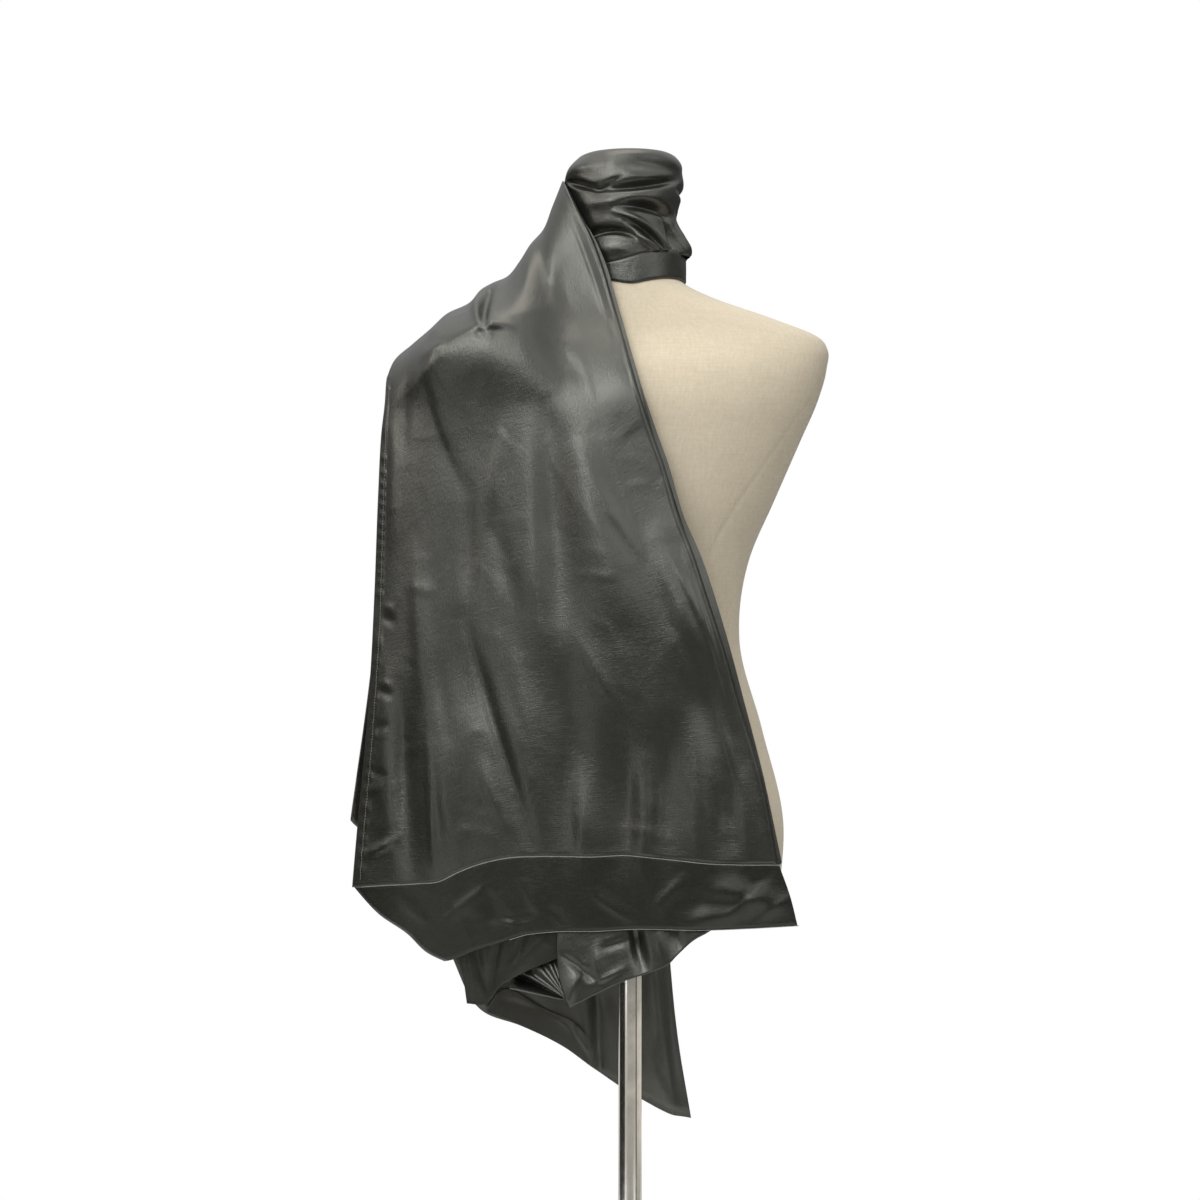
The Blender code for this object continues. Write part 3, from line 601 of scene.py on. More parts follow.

# %% [markdown]
# ## Thread, linen and steel
#
# The thread is a shade lighter than the satin, so that the rows of stitching
# read as fine pale lines; along the hem band's top and lower edges the same pale
# rows are also a painted highlight on the band's edges. The linen is a plain
# weave of uneven yarns, warm off-white, quite matt. The stand is polished steel
# with faint rubbing marks.

# %% Thread, linen and steel materials
def make_thread_and_highlight():
    material, tree, shader = start_material("seam_thread_and_highlight", (0.22, 0.22, 0.20), 0.5)
    places = add_node(tree, "ShaderNodeTexCoord")
    twist = add_node(tree, "ShaderNodeTexNoise", "twist of the thread")
    twist.inputs["Scale"].default_value = 900.0
    tree.links.new(places.outputs["Object"], twist.inputs["Vector"])
    tint = mix_colors(tree, twist.outputs["Fac"], (0.15, 0.15, 0.135), (0.30, 0.30, 0.27))
    tree.links.new(tint, shader.inputs["Base Color"])
    return material


def make_linen():
    material, tree, shader = start_material("natural_linen", (0.66, 0.60, 0.48), 0.85)
    places = add_node(tree, "ShaderNodeTexCoord")
    weave = place_group(tree, WEAVE, Threads_per_metre=620.0, Slub_size=1.7, Unevenness=0.9,
                        Float=0.0)
    handling = place_group(tree, HANDLING, Crumple_size=9.0)
    tree.links.new(places.outputs["UV"], weave.inputs["Place"])
    tree.links.new(places.outputs["Object"], handling.inputs["Place"])
    tone = math_node(tree, "MULTIPLY", weave.outputs["Slub"], 0.4)
    tone = math_node(tree, "ADD", tone, math_node(tree, "MULTIPLY", handling.outputs["Tone"], 0.3))
    tone = math_node(tree, "ADD", tone, math_node(tree, "MULTIPLY", handling.outputs["Grain"], 0.3))
    tint = mix_colors(tree, tone, (0.28, 0.23, 0.150), (0.80, 0.715, 0.56))
    tree.links.new(tint, shader.inputs["Base Color"])
    soft = bump(tree, weave.outputs["Slub"], 0.25, 0.0006)
    tree.links.new(bump(tree, weave.outputs["Height"], 0.35, 0.0003, under=soft),
                   shader.inputs["Normal"])
    shader.inputs["Sheen Weight"].default_value = 0.15
    return material


def make_steel():
    material, tree, shader = start_material("polished_steel", (0.93, 0.92, 0.89), 0.16, 1.0)
    places = add_node(tree, "ShaderNodeTexCoord")
    rubbed = add_node(tree, "ShaderNodeTexNoise", "rubbing marks")
    rubbed.inputs["Scale"].default_value = 60.0
    rubbed.inputs["Detail"].default_value = 6.0
    tree.links.new(places.outputs["Object"], rubbed.inputs["Vector"])
    rough = math_node(tree, "MULTIPLY", rubbed.outputs["Fac"], 0.16)
    tree.links.new(math_node(tree, "ADD", rough, 0.08), shader.inputs["Roughness"])
    return material


# Pale thread for the stitches, also used as a painted highlight along the hem band's edges.
THREAD_AND_HIGHLIGHT = make_thread_and_highlight()
LINEN = make_linen()
STEEL = make_steel()
print("materials:", [material.name for material in bpy.data.materials])

# %% [markdown]
# ## The dress form
#
# The form is a padded shell under taut linen: smooth rounded sections, joined
# by princess seams that run from the shoulder blade to the waist and hip. The
# seams are shallow grooves in the surface itself, so that they shade on every
# side.

# %% Sections of the form
FORM_SEAMS = (                # heights in mm with degrees round from the near side
    ((714, 33), (900, 34), (1000, 40), (1080, 38), (1180, 52), (1262, 70), (1300, 82)),
    ((714, 90), (1290, 90)))
FRONT_SEAM = ((714, 180), (1360, 180))
SEAM_WIDTH = 1.6 * MM
SEAM_DEPTH = 1.5 * MM


def rounded_plan(half_x, half_y, angle, power):
    across = np.abs(np.sin(angle)) ** power + np.abs(np.cos(angle)) ** power
    return (half_x * np.sin(angle) / across ** (1 / power),
            -half_y * np.cos(angle) / across ** (1 / power))


def form_points(angle, z, shrink):
    """Points of the form's surface, for arrays of angles, heights and trims at the hem."""
    half = section_value(FORM, "half", z) - shrink
    near, far = (section_value(FORM, side, z) for side in ("near", "far"))
    depth = np.where(np.cos(angle) > 0, near, far) - shrink
    x, y = rounded_plan(half, depth, angle, FORM_ROUNDNESS)
    spread = ((np.abs(x) - BUST["x"]) / BUST["width"]) ** 2
    height = ((z - BUST["z"]) / BUST["height"]) ** 2
    y = y + BUST["rise"] * np.exp(-spread - height) * np.clip(y / (0.5 * depth), 0, 1)
    return np.stack((x, y, z), axis=-1)


def seam_distance(angle, z):
    """Degrees from each point to the nearest seam of the form."""
    nearest = np.full(angle.shape, 180.0)
    for rows, copies in [(rows, 4) for rows in FORM_SEAMS] + [(FRONT_SEAM, 1)]:
        heights, degrees = zip(*rows)
        at = smooth_value(heights, degrees, z / MM)
        crossed = (z / MM >= heights[0]) & (z / MM <= heights[-1])
        for place in (at, 360 - at, 180 - at, 180 + at)[:copies]:
            away = np.abs((np.degrees(angle) - place + 180) % 360 - 180)
            nearest = np.where(crossed, np.minimum(nearest, away), nearest)
    return nearest


def make_form(sides=300, levels=190):
    bottom, top = FORM[0].z * MM, FORM[-1].z * MM
    turn = np.linspace(0, pi / 2, 7)[:-1]
    straight = np.linspace(bottom + FORM_EDGE, top, levels)
    heights = np.concatenate((bottom + FORM_EDGE * (1 - np.cos(turn)), straight))[::-1]
    trims = np.concatenate((FORM_EDGE * (1 - np.sin(turn)), 0 * straight))[::-1]
    angle, z = np.meshgrid(np.linspace(0, 2 * pi, sides, endpoint=False), heights)
    points = form_points(angle, z, np.broadcast_to(trims[:, None], z.shape))
    radius = np.hypot(points[..., 0], points[..., 1])
    away = np.radians(seam_distance(angle, z)) * radius
    groove = SEAM_DEPTH * np.exp(-(away / SEAM_WIDTH) ** 2) / radius
    points[..., :2] *= 1 - groove[..., None]
    form = grid_object("linen_form", points, LINEN, closed=True, thickness=0)
    bm = bmesh.new()
    bm.from_mesh(form.data)
    bmesh.ops.holes_fill(bm, edges=[edge for edge in bm.edges if edge.is_boundary], sides=0)
    bm.to_mesh(form.data)
    bm.free()
    form.data.set_sharp_from_angle(angle=radians(50))
    return form


form = make_form()
print("form faces:", len(form.data.polygons))

# %% [markdown]
# ## The stand
#
# A display stand is turned work: a base plate with a soft edge, a collar that
# holds the pole, a straight tube and a flange under the form. Each is a profile
# turned about the pole's axis with Screw, at the sizes that the frame gives.

# %% Turned pieces of the stand
def turned(name, profile, material, steps=128):
    bm = bmesh.new()
    verts = [bm.verts.new((x, 0.0, z)) for x, z in profile]
    for first, second in zip(verts, verts[1:]):
        bm.edges.new((first, second))
    mesh = bpy.data.meshes.new(name)
    bm.to_mesh(mesh)
    bm.free()
    mesh.materials.append(material)
    thing = bpy.data.objects.new(name, mesh)
    bpy.context.scene.collection.objects.link(thing)
    screw = thing.modifiers.new("turn", "SCREW")
    screw.steps = steps
    screw.render_steps = steps
    screw.use_merge_vertices = True
    screw.merge_threshold = 0.00001
    result = bpy.data.meshes.new_from_object(
        thing.evaluated_get(bpy.context.evaluated_depsgraph_get()))
    thing.modifiers.clear()
    thing.data = result
    result.shade_smooth()
    result.set_sharp_from_angle(angle=radians(35))
    return thing


def rounded_corner(x, z, radius, start, steps=5):
    """Quarter round inside a corner; start is the angle it begins at, going clockwise."""
    return [(x + radius * cos(a), z + radius * sin(a))
            for a in np.linspace(start, start - pi / 2, steps)]


def make_stand():
    low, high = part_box("base_plate")
    edge = 3 * MM
    base = turned("steel_base", [(0, high[2])] + rounded_corner(
        high[0] - edge, high[2] - edge, edge, pi / 2) + [(high[0], 0), (0, 0)], STEEL)

    low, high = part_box("pole_collar")
    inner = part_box("pole")[1][0] + 0.3 * MM
    lip = 3 * MM
    collar = turned("steel_collar", [(inner, high[2])] + rounded_corner(
        high[0] - lip, high[2] - lip, lip, pi / 2) + [
            (high[0], low[2]), (inner, low[2]), (inner, high[2])], STEEL)

    low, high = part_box("pole")
    pole = turned("steel_pole", [(0, high[2]), (high[0], high[2]), (high[0], low[2]),
                                 (0, low[2])], STEEL)

    low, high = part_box("form_flange")
    lip = 2 * MM
    flange = turned("steel_flange", [(0, high[2]), (high[0], high[2])] + rounded_corner(
        high[0] - lip, low[2] + lip, lip, 0) + [(0, low[2])], STEEL)
    return dict(base_plate=base, pole_collar=collar, pole=pole, form_flange=flange)


stand = make_stand()
print("stand pieces:", sorted(stand))

# %% [markdown]
# ## The stretch over the shoulder
#
# The near panel and the far panel are one length of cloth that goes over the
# shoulder, so here they are one mesh: the far rows, the crest, then the near
# rows. The near panel's left edge is a turned hem, a little proud of the
# cloth, puckered by its stitching. Its leading edge is a soft fold.

# %% Points of the near and far panels
COLUMNS = 152
NEAR_ROWS = 176
TAIL_ROWS = 96
HEM_WIDTH = 14 * MM
HEM_RISE = 0.7 * MM
PUCKER_STEP = 31 * MM
EDGE_BEAD = 1.2 * MM


def turned_hem(grid, from_left):
    """Rise of a turned hem along one side, and its puckers."""
    edge = grid[:, :1] if from_left else grid[:, -1:]
    away = np.linalg.norm(grid - edge, axis=2)
    strip = soft_step((HEM_WIDTH - away) / (1.5 * MM))
    height = grid[..., 1] + 0.25 * away
    wander = uneven(grid[..., 0] * 0, height, 1.0, 0.045, 3)
    puckers = np.cos(2 * pi * (height / PUCKER_STEP + 1.2 * wander)) ** 8
    return HEM_RISE * strip + 1.3 * MM * strip * (puckers - 0.3) * soft_step(away / (6 * MM))


def edge_curl(grid, from_left, reach, depth):
    """How far a soft folded edge turns in, over its last few millimetres."""
    edge = grid[:, :1] if from_left else grid[:, -1:]
    away = np.linalg.norm(grid - edge, axis=2)
    return depth * (1 - np.clip(away / reach, 0, 1)) ** 2


panel_grid = patch(CREST, PANEL_SEAM, PANEL_LEFT, LEADING_EDGE, COLUMNS, NEAR_ROWS, crowd=1.4)
tail_grid = patch(CREST, TAIL_HEM, TAIL_LEFT, TAIL_RIGHT, COLUMNS, TAIL_ROWS, crowd=1.4)
panel_points = hanging_points(panel_grid, "near", 0, NEAR_CREASES, seed=1)
fade = np.minimum(np.linspace(0, 12, NEAR_ROWS)[:, None], 1)
panel_points[..., 1] -= turned_hem(panel_grid, True) * fade
panel_points[..., 1] += edge_curl(panel_grid, False, 4 * MM, 2.6 * MM) * fade
from_edge = np.linalg.norm(panel_grid - panel_grid[:, -1:], axis=2)
panel_points[..., 1] -= EDGE_BEAD * np.exp(-((from_edge - 3 * MM) / (1.6 * MM)) ** 2) * fade
tail_points = hanging_points(tail_grid, "far", 0, FAR_CREASES, seed=21)
tail_points[..., 1] += turned_hem(tail_grid, True) * np.minimum(np.linspace(0, 12, TAIL_ROWS)[:, None], 1)
shoulder = grid_object("shoulder_stretch", np.concatenate((tail_points[:0:-1], panel_points)), SATIN,
                       back=SATIN_BACK)
print("shoulder stretch:", len(shoulder.data.polygons), "quads,",
      round(sheet_area(shoulder), 3), "square metres")

# %% [markdown]
# ## The deep hem band
#
# A double band closes the panel's end. Its top edge lies on the panel with a
# small lip, and its left corner is turned under along a slanting fold.

# %% Band and the layers under it
def shifted(rows, dx, dz):
    return tuple((x + dx, z + dz) for x, z in rows)


LIP = 1.5
BAND_RISE = 0.6 * MM
BAND_TUCK = 5 * MM       # the band's lower edge hangs a little inward
band_top = shifted(PANEL_SEAM, 0, LIP)
band_grid = patch(band_top, BAND_HEM, band_top[:1] + BAND_LEFT, band_top[-1:] + BAND_RIGHT,
                  240, 50)
band_points = hanging_points(band_grid, "near", 0, NEAR_CREASES + BAND_CREASES, seed=1)
lip_share = np.linspace(0, 1, 50)[:, None]
band_points[..., 1] -= BAND_RISE * soft_step(lip_share / 0.03)
band_points[..., 1] += edge_curl(band_grid, True, 7 * MM, 5 * MM)
band_points[..., 1] += 1.4 * MM * soft_step((lip_share - 0.95) / 0.05)
band_points[..., 1] += BAND_TUCK * lip_share
# The band takes the less shiny satin copy: painted shade.
band = grid_object("hem_band", band_points, SATIN_SHADED, thickness=1.6 * MM)

under_grid = patch(UNDER_TOP, UNDER_HEM, UNDER_LEFT, UNDER_EDGE, 90, 240, crowd=0.6)
heights, distances = zip(*UNDER_INWARD)
under_inward = np.interp(under_grid[..., 1] / MM, heights, distances) * MM
under_points = hanging_points(under_grid, "near", under_inward, NEAR_CREASES + UNDER_CREASES,
                              seed=1)
under = grid_object("under_stretch", under_points, SATIN)
# Faces above 0.77 m take the duller reverse satin: painted shade, so that the strip beside the leading edge reads as
# a shadowed gap.
under.data.materials.append(SATIN_BACK)
for face in under.data.polygons:
    face.material_index = 1 if face.center.z > 0.77 else 0

inner_grid = patch(INNER_TOP, INNER_HEM, INNER_LEFT, INNER_RIGHT, 90, 90)
inner_inward = np.interp(inner_grid[..., 1] / MM, (620, 660, 700), (22.0, 15.0, 10.5)) * MM
inner_points = hanging_points(inner_grid, "near", inner_inward, INNER_CREASES, seed=1)
# The inner stretch takes the less shiny satin copy: painted shade.
inner = grid_object("inner_stretch", inner_points, SATIN_SHADED)
print("band area:", round(sheet_area(band), 4), "under:", round(sheet_area(under), 4),
      "inner:", round(sheet_area(inner), 4))

# %% [markdown]
# ## The gathered corner
#
# One corner of the end is drawn together at a point, and pleats spread from it
# like a fan. Each pleat grows from nothing at the point, and neighbours differ
# in depth, because cloth never gathers evenly.

# %% Fan of pleats
FAN_TIP = (-65, 626)
FAN_REACH = (5, 62)
FAN_SPREAD = (172, 94)
FAN_PLEATS = 5
FAN_HOLLOW = 19 * MM       # the lowest pleat opens into a deep hollow
FAN_SET_BACK = 26 * MM


def make_gathers(columns=220, rows=60):
    x_tip, z_tip = FAN_TIP[0] * MM, FAN_TIP[1] * MM
    tip = float(hang(np.array([x_tip]), np.array([z_tip]), "near", seed=1)[0]) - 6 * MM
    points = np.zeros((rows, columns, 3))
    for i, reach in enumerate(np.linspace(*FAN_REACH, rows)[::-1]):
        share = (reach - FAN_REACH[0]) / (FAN_REACH[1] - FAN_REACH[0])
        for j, turn in enumerate(np.linspace(0, 1, columns)):
            angle = radians(FAN_SPREAD[0] + (FAN_SPREAD[1] - FAN_SPREAD[0]) * turn)
            wobble = turn ** 1.2 + 0.04 * sin(7 * turn) * share
            wave = cos(2 * pi * FAN_PLEATS * wobble)
            sharp = np.sign(wave) * abs(wave) ** 0.7
            depth = 4 * MM * share ** 0.8 * sharp * (0.7 + 0.3 * sin(5 * turn + 1))
            depth -= FAN_HOLLOW * share ** 0.5 * np.exp(-((turn - 0.14) / 0.08) ** 2)
            points[i, j] = (x_tip + reach * MM * cos(angle),
                            -(tip - FAN_SET_BACK * share + depth), z_tip + reach * MM * sin(angle))
    return grid_object("gathers", points, SATIN)


gathers = make_gathers()

turn_up_grid = patch(TURN_UP_TOP, TURN_UP_HEM, (TURN_UP_TOP[0], TURN_UP_HEM[0]),
                     (TURN_UP_TOP[-1], TURN_UP_HEM[-1]), 140, 40)
turn_up_share = np.linspace(0, 1, 40)[:, None]
turn_up_points = hanging_points(turn_up_grid, "far", (4.0 + 1.5 * turn_up_share) * MM, FAR_CREASES,
                                seed=21)
turn_up = grid_object("turned_up_hem", turn_up_points, SATIN_BACK, turned=True)
print("gathers:", len(gathers.data.polygons), "turned-up hem:", len(turn_up.data.polygons))

# %% [markdown]
# ## The neck wrap
#
# The wrap is a ring of cloth that stands up round the neck and rolls in at the
# top. Its folds lie round it and pinch together at one side. They are the same
# kind of crease as before, now on a surface that is unrolled: the first number
# is the distance round the neck in millimetres, from the near side.

# %% Sizes of the neck pieces
Ring = namedtuple("Ring", "z right left near far")
NECK_RING = [Ring(*row) for row in (
    (1399, 63, 64, 61, 58), (1411, 63, 66, 61, 58), (1424, 58, 67, 62, 58),
    (1438, 52, 68, 62, 57), (1449, 50, 69, 62, 57), (1460, 53, 70, 62, 58),
    (1474, 57, 68.5, 62, 59), (1490, 58, 70.6, 61, 59), (1503, 57, 65, 59, 57),
    (1511, 53, 59, 55, 53), (1516, 48, 53, 50, 48), (1518, 43, 47, 46, 44),
    (1515, 39, 43, 42, 40), (1502, 37, 41, 40, 38), (1485, 37, 41, 40, 38))]
BAND_TOP = ((-180, 1402), (-90, 1395), (-35, 1394), (-9, 1399), (10, 1405), (32, 1410), (90, 1407),
            (180, 1402))
BAND_RADII = Ring(0, 60, 62, 60, 57)
MM_PER_DEGREE = 1.08
NECK_FOLDS = [Fold(*row) for row in (
    (-92, 1490, -28, 1470, 1, 4.5, -9, 0.5), (-50, 1473, 76, 1490, 6, 6, -11, 0.45),
    (-44, 1468, -6, 1488, 0, 3, -3), (-24, 1502, 84, 1494, -1, 8, -6),
    (-96, 1500, -30, 1500, 0, 8, 4), (-60, 1460, 40, 1468, 4, 7, 4),
    (-22, 1456, 62, 1444, -3, 7, -13, 0.6), (-24, 1450, 52, 1388, -13, 4, 10, 0.6),
    (44, 1452, 61, 1384, -2, 6.5, -15), (-10, 1440, 44, 1400, -8, 4, -7),
    (-10, 1430, 48, 1396, -3, 3.5, 6), (-64, 1415, 18, 1415, -14, 4.5, -13, 0.7),
    (-56, 1409, 12, 1409, 0, 7, 2.5),
    (38, 1397, 108, 1394, 0, 4, -7), (60, 1420, 90, 1392, -3, 8, 4),
    (56, 1478, 220, 1470, 5, 6, -8, 0.5),
    (70, 1500, 200, 1494, 3, 6, -4), (84, 1458, 250, 1472, -6, 7, -7, 0.5),
    (70, 1440, 190, 1428, 5, 8, 7, 0.6), (130, 1416, 262, 1446, 3, 7, -7, 0.5),
    (100, 1411, 215, 1407, 0, 5, 5), (170, 1504, 270, 1486, 4, 7, -5),
    (62, 1458, 90, 1400, 3, 6, 5, 0.6), (190, 1460, 272, 1412, -6, 7, 6, 0.6),
    (55, 1438, 82, 1398, 3, 4, -5))]
print("folds round the neck:", len(NECK_FOLDS))

# %% Neck wrap and neck band
def neck_angle_mm(angle):
    return ((np.degrees(angle) + 110) % 360 - 110) * MM_PER_DEGREE * MM


def band_top_height(angle):
    keys, values = zip(*BAND_TOP)
    return smooth_value(keys, values, (np.degrees(angle) + 180) % 360 - 180) * MM


def ring_radius(row, angle):
    across = np.where(np.sin(angle) > 0, row.right, row.left)
    deep = np.where(np.cos(angle) > 0, row.near, row.far)
    x, y = rounded_plan(across * MM, deep * MM, angle, 2.0)
    return np.hypot(x, y)


def make_neck_wrap(columns=260, rows=120):
    line = np.array([(row.near, row.z) for row in NECK_RING], float)
    steps = np.concatenate(([0.0], np.cumsum(np.linalg.norm(np.diff(line, axis=0), axis=1))))
    place, angle = np.meshgrid(np.linspace(0, steps[-1], rows),
                               np.linspace(0, 2 * pi, columns, endpoint=False), indexing="ij")
    level = Ring(*(smooth_value(steps, column, place) for column in zip(*NECK_RING)))
    rim = steps[10]
    lift = np.where(place < rim, np.maximum(0, 1 - (level.z - NECK_RING[0].z) / 40), 0)
    z = level.z * MM + (band_top_height(angle) - 2 * MM - NECK_RING[0].z * MM) * lift
    keep = soft_step((rim - place) / 12)
    around = neck_angle_mm(angle)
    fine = 0.6 * MM * uneven(around, z, 0.03, 0.012, 7)
    tuck = -1.4 * MM * soft_step(1 - place / 3)
    radius = ring_radius(level, angle) + (fold_rise(NECK_FOLDS, around, z) + fine) * keep + tuck
    shape = np.stack((radius * np.sin(angle), -radius * np.cos(angle), z), axis=-1)
    return grid_object("neck_wrap_cloth", shape[::-1], SATIN, closed=True)


def form_height(x, y):
    """Height of the form's shoulder or neck under a point of its plan."""
    low, high = 1.30, 1.43
    for _ in range(24):
        z = (low + high) / 2
        half = section_value(FORM, "half", z)
        depth = section_value(FORM, "near" if y < 0 else "far", z)
        inside = abs(x / half) ** FORM_ROUNDNESS + abs(y / depth) ** FORM_ROUNDNESS < 1
        low, high = (z, high) if inside else (low, z)
    return low


def make_neck_band(columns=240, rows=16):
    points = np.zeros((rows, columns, 3))
    for j in range(columns):
        angle = 2 * pi * j / columns
        radius = ring_radius(BAND_RADII, angle)
        inner = radius - 1.3 * MM
        foot = form_height(inner * sin(angle), -inner * cos(angle)) + 0.8 * MM
        top = band_top_height(angle)
        for i, share in enumerate(np.linspace(0, 1, rows)):
            roll = -0.8 * MM * (max(0, 1 - share / 0.06) ** 2 + max(0, (share - 0.93) / 0.07) ** 2)
            wave = 0.5 * MM * noise.noise((angle * 4, share * 1.5, 2.0))
            r = radius + roll + wave + 0.5 * MM
            points[i, j] = (r * sin(angle), -r * cos(angle), top + (foot - top) * share)
    return grid_object("neck_band_cloth", points, SATIN, closed=True, thickness=1.3 * MM)


neck_wrap = make_neck_wrap()
neck_band = make_neck_band()
print("neck wrap quads:", len(neck_wrap.data.polygons))

# %% [markdown]
# ## Rows of stitches
#
# Stitches repeat along a seam, which is what Geometry Nodes are for. The tree
# resamples a path at the stitch pitch, puts a small capsule at each point,
# turns it along the path, makes the copies real and gives them the thread's
# material. The result is taken as a plain mesh.

# %% Geometry Nodes tree for stitches
def make_stitch_tree():
    tree = bpy.data.node_groups.new("row_of_stitches", "GeometryNodeTree")
    tree.interface.new_socket("Path", in_out="INPUT", socket_type="NodeSocketGeometry")
    for name, value in (("Pitch", 3.0 * MM), ("Length", 2.2 * MM), ("Thread", 0.35 * MM)):
        socket = tree.interface.new_socket(name, in_out="INPUT", socket_type="NodeSocketFloat")
        socket.default_value = value
    socket = tree.interface.new_socket("Finish", in_out="INPUT", socket_type="NodeSocketMaterial")
    socket.default_value = THREAD_AND_HIGHLIGHT
    tree.interface.new_socket("Stitches", in_out="OUTPUT", socket_type="NodeSocketGeometry")
    given = add_node(tree, "NodeGroupInput")
    result = add_node(tree, "NodeGroupOutput")
    resample = add_node(tree, "GeometryNodeResampleCurve", mode="LENGTH")
    tangent = add_node(tree, "GeometryNodeInputTangent")
    turn = add_node(tree, "FunctionNodeAlignRotationToVector", axis="Z")
    capsule = add_node(tree, "GeometryNodeMeshCylinder")
    capsule.inputs["Vertices"].default_value = 6
    copies = add_node(tree, "GeometryNodeInstanceOnPoints")
    real = add_node(tree, "GeometryNodeRealizeInstances")
    finish = add_node(tree, "GeometryNodeSetMaterial")
    links = (
        (given.outputs["Path"], resample.inputs["Curve"]),
        (given.outputs["Pitch"], resample.inputs["Length"]),
        (given.outputs["Thread"], capsule.inputs["Radius"]),
        (given.outputs["Length"], capsule.inputs["Depth"]),
        (tangent.outputs[0], turn.inputs["Vector"]),
        (resample.outputs["Curve"], copies.inputs["Points"]),
        (capsule.outputs["Mesh"], copies.inputs["Instance"]),
        (turn.outputs["Rotation"], copies.inputs["Rotation"]),
        (copies.outputs["Instances"], real.inputs["Geometry"]),
        (real.outputs["Geometry"], finish.inputs["Geometry"]),
        (given.outputs["Finish"], finish.inputs["Material"]),
        (finish.outputs["Geometry"], result.inputs["Stitches"]))
    for source, target in links:
        tree.links.new(source, target)
    return tree


STITCH_TREE = make_stitch_tree()


def stitch_row(name, points, pitch=3.0 * MM, length=2.2 * MM, thread=0.35 * MM):
    """One row of stitches along a list of points, as a plain mesh."""
    data = bpy.data.curves.new(name, "CURVE")
    data.dimensions = "3D"
    spline = data.splines.new("POLY")
    spline.points.add(len(points) - 1)
    for place, point in zip(spline.points, points):
        place.co = (*point, 1.0)
    path = bpy.data.objects.new(name + "_path", data)
    bpy.context.scene.collection.objects.link(path)
    rows = path.modifiers.new("stitches", "NODES")
    rows.node_group = STITCH_TREE
    for item in STITCH_TREE.interface.items_tree:
        value = dict(Pitch=pitch, Length=length, Thread=thread).get(item.name)
        if value is not None:
            rows[item.identifier] = value
    mesh = bpy.data.meshes.new_from_object(
        path.evaluated_get(bpy.context.evaluated_depsgraph_get()))
    bpy.data.objects.remove(path)
    mesh.shade_smooth()
    stitches = bpy.data.objects.new(name, mesh)
    bpy.context.scene.collection.objects.link(stitches)
    return stitches


def beside_edge(points, distance, lift):
    """A line on a grid at a distance from its first column, lifted off by a little."""
    steps = np.linalg.norm(np.diff(points, axis=1), axis=2)
    across = np.concatenate((np.zeros((len(points), 1)), np.cumsum(steps, axis=1)), axis=1)
    line = [[np.interp(distance, run, row[:, k]) for k in range(3)]
            for run, row in zip(across, points)]
    return np.array(line) + (0, lift, 0)


rows_of_stitches = [
    # Along the band's seam the pale thread is both a row of stitches and a painted highlight on the band's top edge.
    stitch_row("band_seam_stitch_and_highlight", band_points[1] + (0, -0.2 * MM, 0.3 * MM),
               pitch=2.6 * MM, length=2.5 * MM, thread=0.4 * MM),
    # A row of pale thread along the band's lower edge: a painted highlight on the hem's folded edge.
    stitch_row("band_edge_painted_highlight", band_points[-1, 60:] + (0, -0.3 * MM, 0),
               pitch=2.6 * MM, length=2.7 * MM, thread=0.4 * MM),
    stitch_row("panel_hem_stitch", beside_edge(panel_points[20:-2], 12.5 * MM, -0.1 * MM),
               thread=0.25 * MM),
    stitch_row("tail_hem_stitch", beside_edge(tail_points[20:-2], 12.5 * MM, 0.1 * MM),
               thread=0.25 * MM),
]
print("stitch faces:", [len(row.data.polygons) for row in rows_of_stitches])

# %% [markdown]
# ## Floor, light and camera
#
# A pale floor and soft light from large panels: one broad light above and to
# the left, which gives the satin its slow highlights, a weaker one from the
# right, and an even sky. The camera looks level at the form's hip, from far
# enough that nothing is stretched.

# %% Stage
CAMERA = dict(x=-32.4 * MM, y=-2.8, z=1.038, field=1.296, sensor=36.0)


def area_light(name, place, target, size, power, color=(1, 1, 1)):
    data = bpy.data.lights.new(name, "AREA")
    data.shape = "SQUARE"
    data.size = size
    data.energy = power
    data.color = color
    light = bpy.data.objects.new(name, data)
    light.location = place
    light.rotation_euler = (Vector(target) - Vector(place)).to_track_quat("-Z", "Y").to_euler()
    bpy.context.scene.collection.objects.link(light)
    return light


# What the steel and the satin mirror at the height of the horizon, by degrees round from
# the camera's side: a pale room with one dark side and a dark gap.
ROOM = ((-180, 0.7), (-127, 0.7), (-122, 0.02), (-54, 0.02), (-48, 0.6), (56, 0.6), (61, 0.03),
        (68, 0.03), (73, 0.8), (180, 0.7))
# Light of the sky by the height of its direction, from -1 straight down to 1 straight up.
SKY = ((-1.0, 0.03), (0.0, 0.02), (0.1, 0.07), (0.25, 0.4), (0.6, 0.85), (1.0, 1.1))
HORIZON = (-0.235, -0.205, -0.15, -0.135)    # the room shows between these heights


def ramp(tree, source, table, low, high, tint=(1.0, 1.0, 1.0)):
    """A table of places and brightness as a ramp over a range of the source."""
    share = add_node(tree, "ShaderNodeMapRange")
    tree.links.new(source, share.inputs["Value"])
    share.inputs["From Min"].default_value = low
    share.inputs["From Max"].default_value = high
    node = add_node(tree, "ShaderNodeValToRGB")
    tree.links.new(share.outputs[0], node.inputs[0])
    stops = node.color_ramp.elements
    while len(stops) < len(table):
        stops.new(0.5)
    for stop, (place, value) in zip(stops, table):
        stop.position = (place - low) / (high - low)
    for stop, (place, value) in zip(stops, table):
        stop.color = tuple(value * share for share in tint) + (1.0,)
    return node.outputs[0]


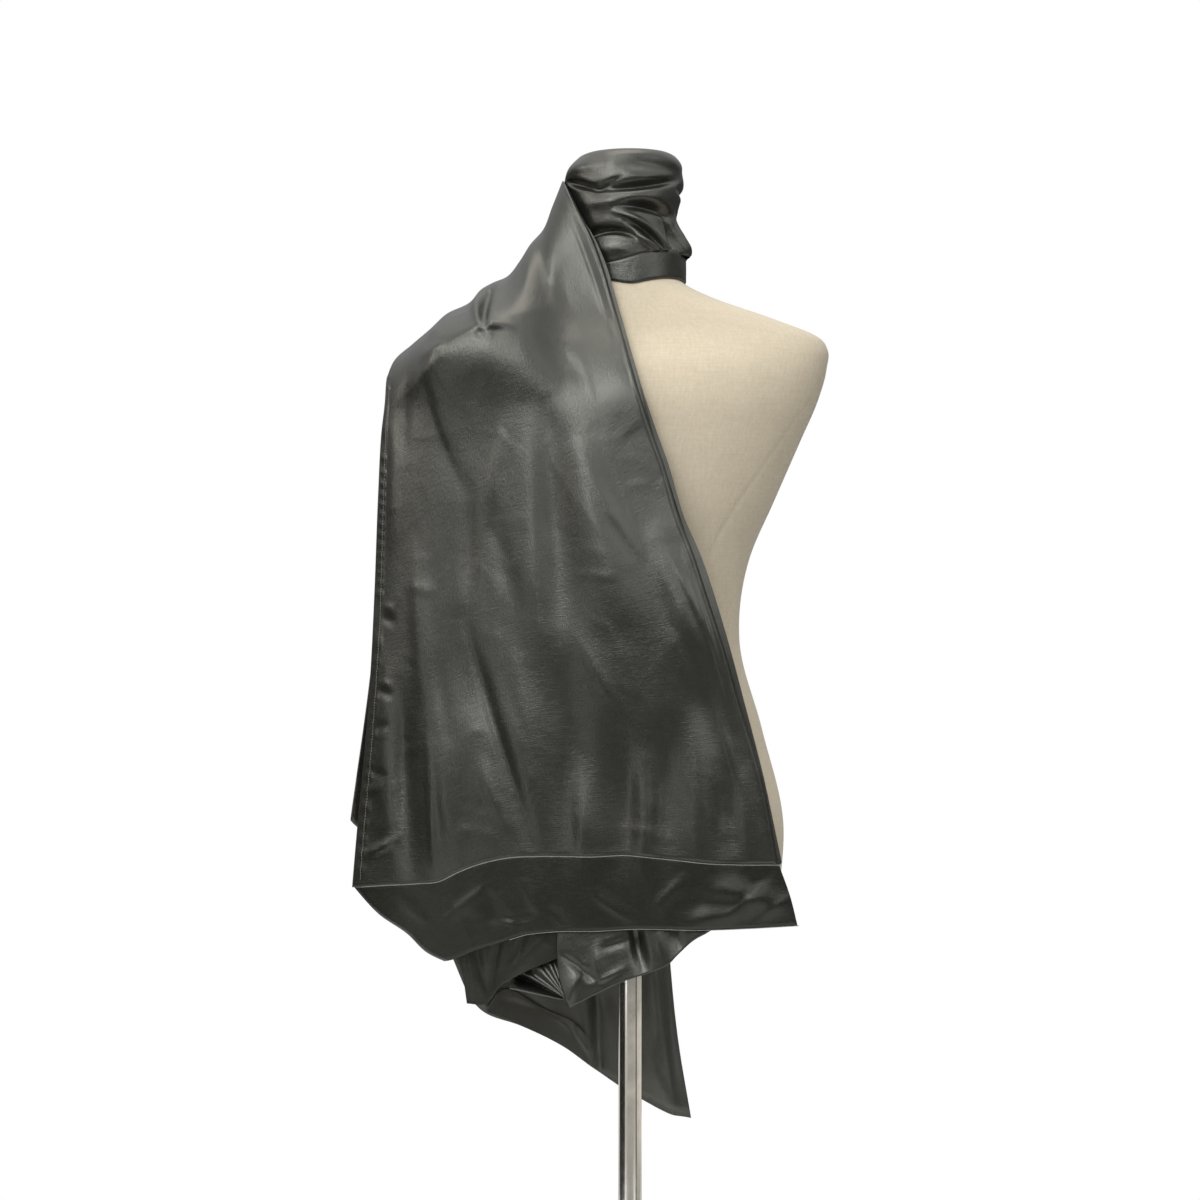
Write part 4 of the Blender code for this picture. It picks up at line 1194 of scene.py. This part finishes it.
def make_world():
    world = bpy.data.worlds.new("soft_room")
    bpy.context.scene.world = world
    world.use_nodes = True
    tree = world.node_tree
    direction = add_node(tree, "ShaderNodeTexCoord")
    split = add_node(tree, "ShaderNodeSeparateXYZ")
    tree.links.new(direction.outputs["Generated"], split.inputs[0])
    back = math_node(tree, "MULTIPLY", split.outputs["Y"], -1.0)
    around = math_node(tree, "ARCTAN2", split.outputs["X"], back)
    room = ramp(tree, math_node(tree, "DEGREES", around), ROOM, -180, 180, tint=(0.92, 0.87, 0.76))
    height = split.outputs["Z"]
    sky = ramp(tree, height, SKY, -1, 1)
    band = ramp(tree, height, list(zip(HORIZON, (0, 1, 1, 0))), HORIZON[0], HORIZON[-1])
    light = add_node(tree, "ShaderNodeMix", data_type="RGBA")
    tree.links.new(band, light.inputs["Factor"])
    tree.links.new(sky, light.inputs["A"])
    tree.links.new(room, light.inputs["B"])
    lit = tree.nodes["Background"]
    tree.links.new(light.outputs["Result"], lit.inputs["Color"])
    paper = add_node(tree, "ShaderNodeBackground", "white paper behind")
    paper.inputs["Color"].default_value = (1.0, 1.0, 1.0, 1.0)
    seen = add_node(tree, "ShaderNodeLightPath")
    choose = add_node(tree, "ShaderNodeMixShader")
    tree.links.new(seen.outputs["Is Camera Ray"], choose.inputs[0])
    tree.links.new(lit.outputs[0], choose.inputs[1])
    tree.links.new(paper.outputs[0], choose.inputs[2])
    tree.links.new(choose.outputs[0], tree.nodes["World Output"].inputs["Surface"])


def make_stage():
    bpy.ops.mesh.primitive_plane_add(size=2.6)
    floor = bpy.context.object
    floor.name = "floor"
    material, tree, shader = start_material("pale_floor", (0.74, 0.74, 0.73), 0.8)
    floor.data.materials.append(material)
    make_world()
    area_light("key", (-0.9, -1.75, 2.45), (-0.08, 0, 1.2), 1.2, 24)
    area_light("top", (-0.1, -0.2, 3.0), (-0.05, 0, 1.3), 1.2, 11, (1.0, 0.94, 0.86))
    area_light("fill", (1.9, -1.6, 1.9), (0, 0, 1.1), 1.4, 10)
    area_light("left", (-2.2, -0.8, 2.1), (-0.1, 0, 1.3), 1.0, 14, (1.0, 0.95, 0.88))
    area_light("high front", (-0.2, -2.4, 1.95), (-0.05, 0, 1.45), 0.5, 8)
    area_light("neck", (0.9, -2.4, 1.75), (0, 0, 1.43), 0.4, 2.5)
    area_light("window", (-1.7, -2.1, 0.6), (-0.1, 0, 0.7), 0.7, 3)
    low = area_light("low", (-0.3, -2.6, 0.5), (-0.05, 0, 0.6), 0.8, 4)
    low.visible_glossy = False


def make_camera():
    data = bpy.data.cameras.new("camera")
    data.sensor_width = CAMERA["sensor"]
    data.lens = CAMERA["sensor"] * -CAMERA["y"] / CAMERA["field"]
    camera = bpy.data.objects.new("camera", data)
    camera.location = (CAMERA["x"], CAMERA["y"], CAMERA["z"])
    camera.rotation_euler = (pi / 2, 0, 0)
    bpy.context.scene.collection.objects.link(camera)
    bpy.context.scene.camera = camera


make_stage()
make_camera()
bpy.context.scene.view_settings.view_transform = "Standard"
print("lens in mm:", round(bpy.context.scene.camera.data.lens, 1))

# %% [markdown]
# ## What stands for what
#
# Each visible piece takes the place of the plain solid of the same stretch,
# and everything rides on the one body.

# %% Pieces, bodies and areas
REPLACES = {
    shoulder: ("front_panel", "back_panel"), band: ("front_hem_band",),
    under: ("under_layer",), inner: ("inner_layer",), gathers: ("gathered_corner",),
    turn_up: ("back_hem_band",), neck_wrap: ("neck_wrap",), neck_band: ("neck_band",),
    form: ("dress_form",)}
for piece, nodes in REPLACES.items():
    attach(piece, "root")
    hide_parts(*nodes)
for node, piece in stand.items():
    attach(piece, "root")
    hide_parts(node)
for row in rows_of_stitches:
    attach(row, "root")

for piece in (shoulder, band, under, inner, gathers, turn_up, neck_wrap, neck_band):
    area = sheet_area(piece)
    print(piece.name, "area in square metres:", round(area, 4))
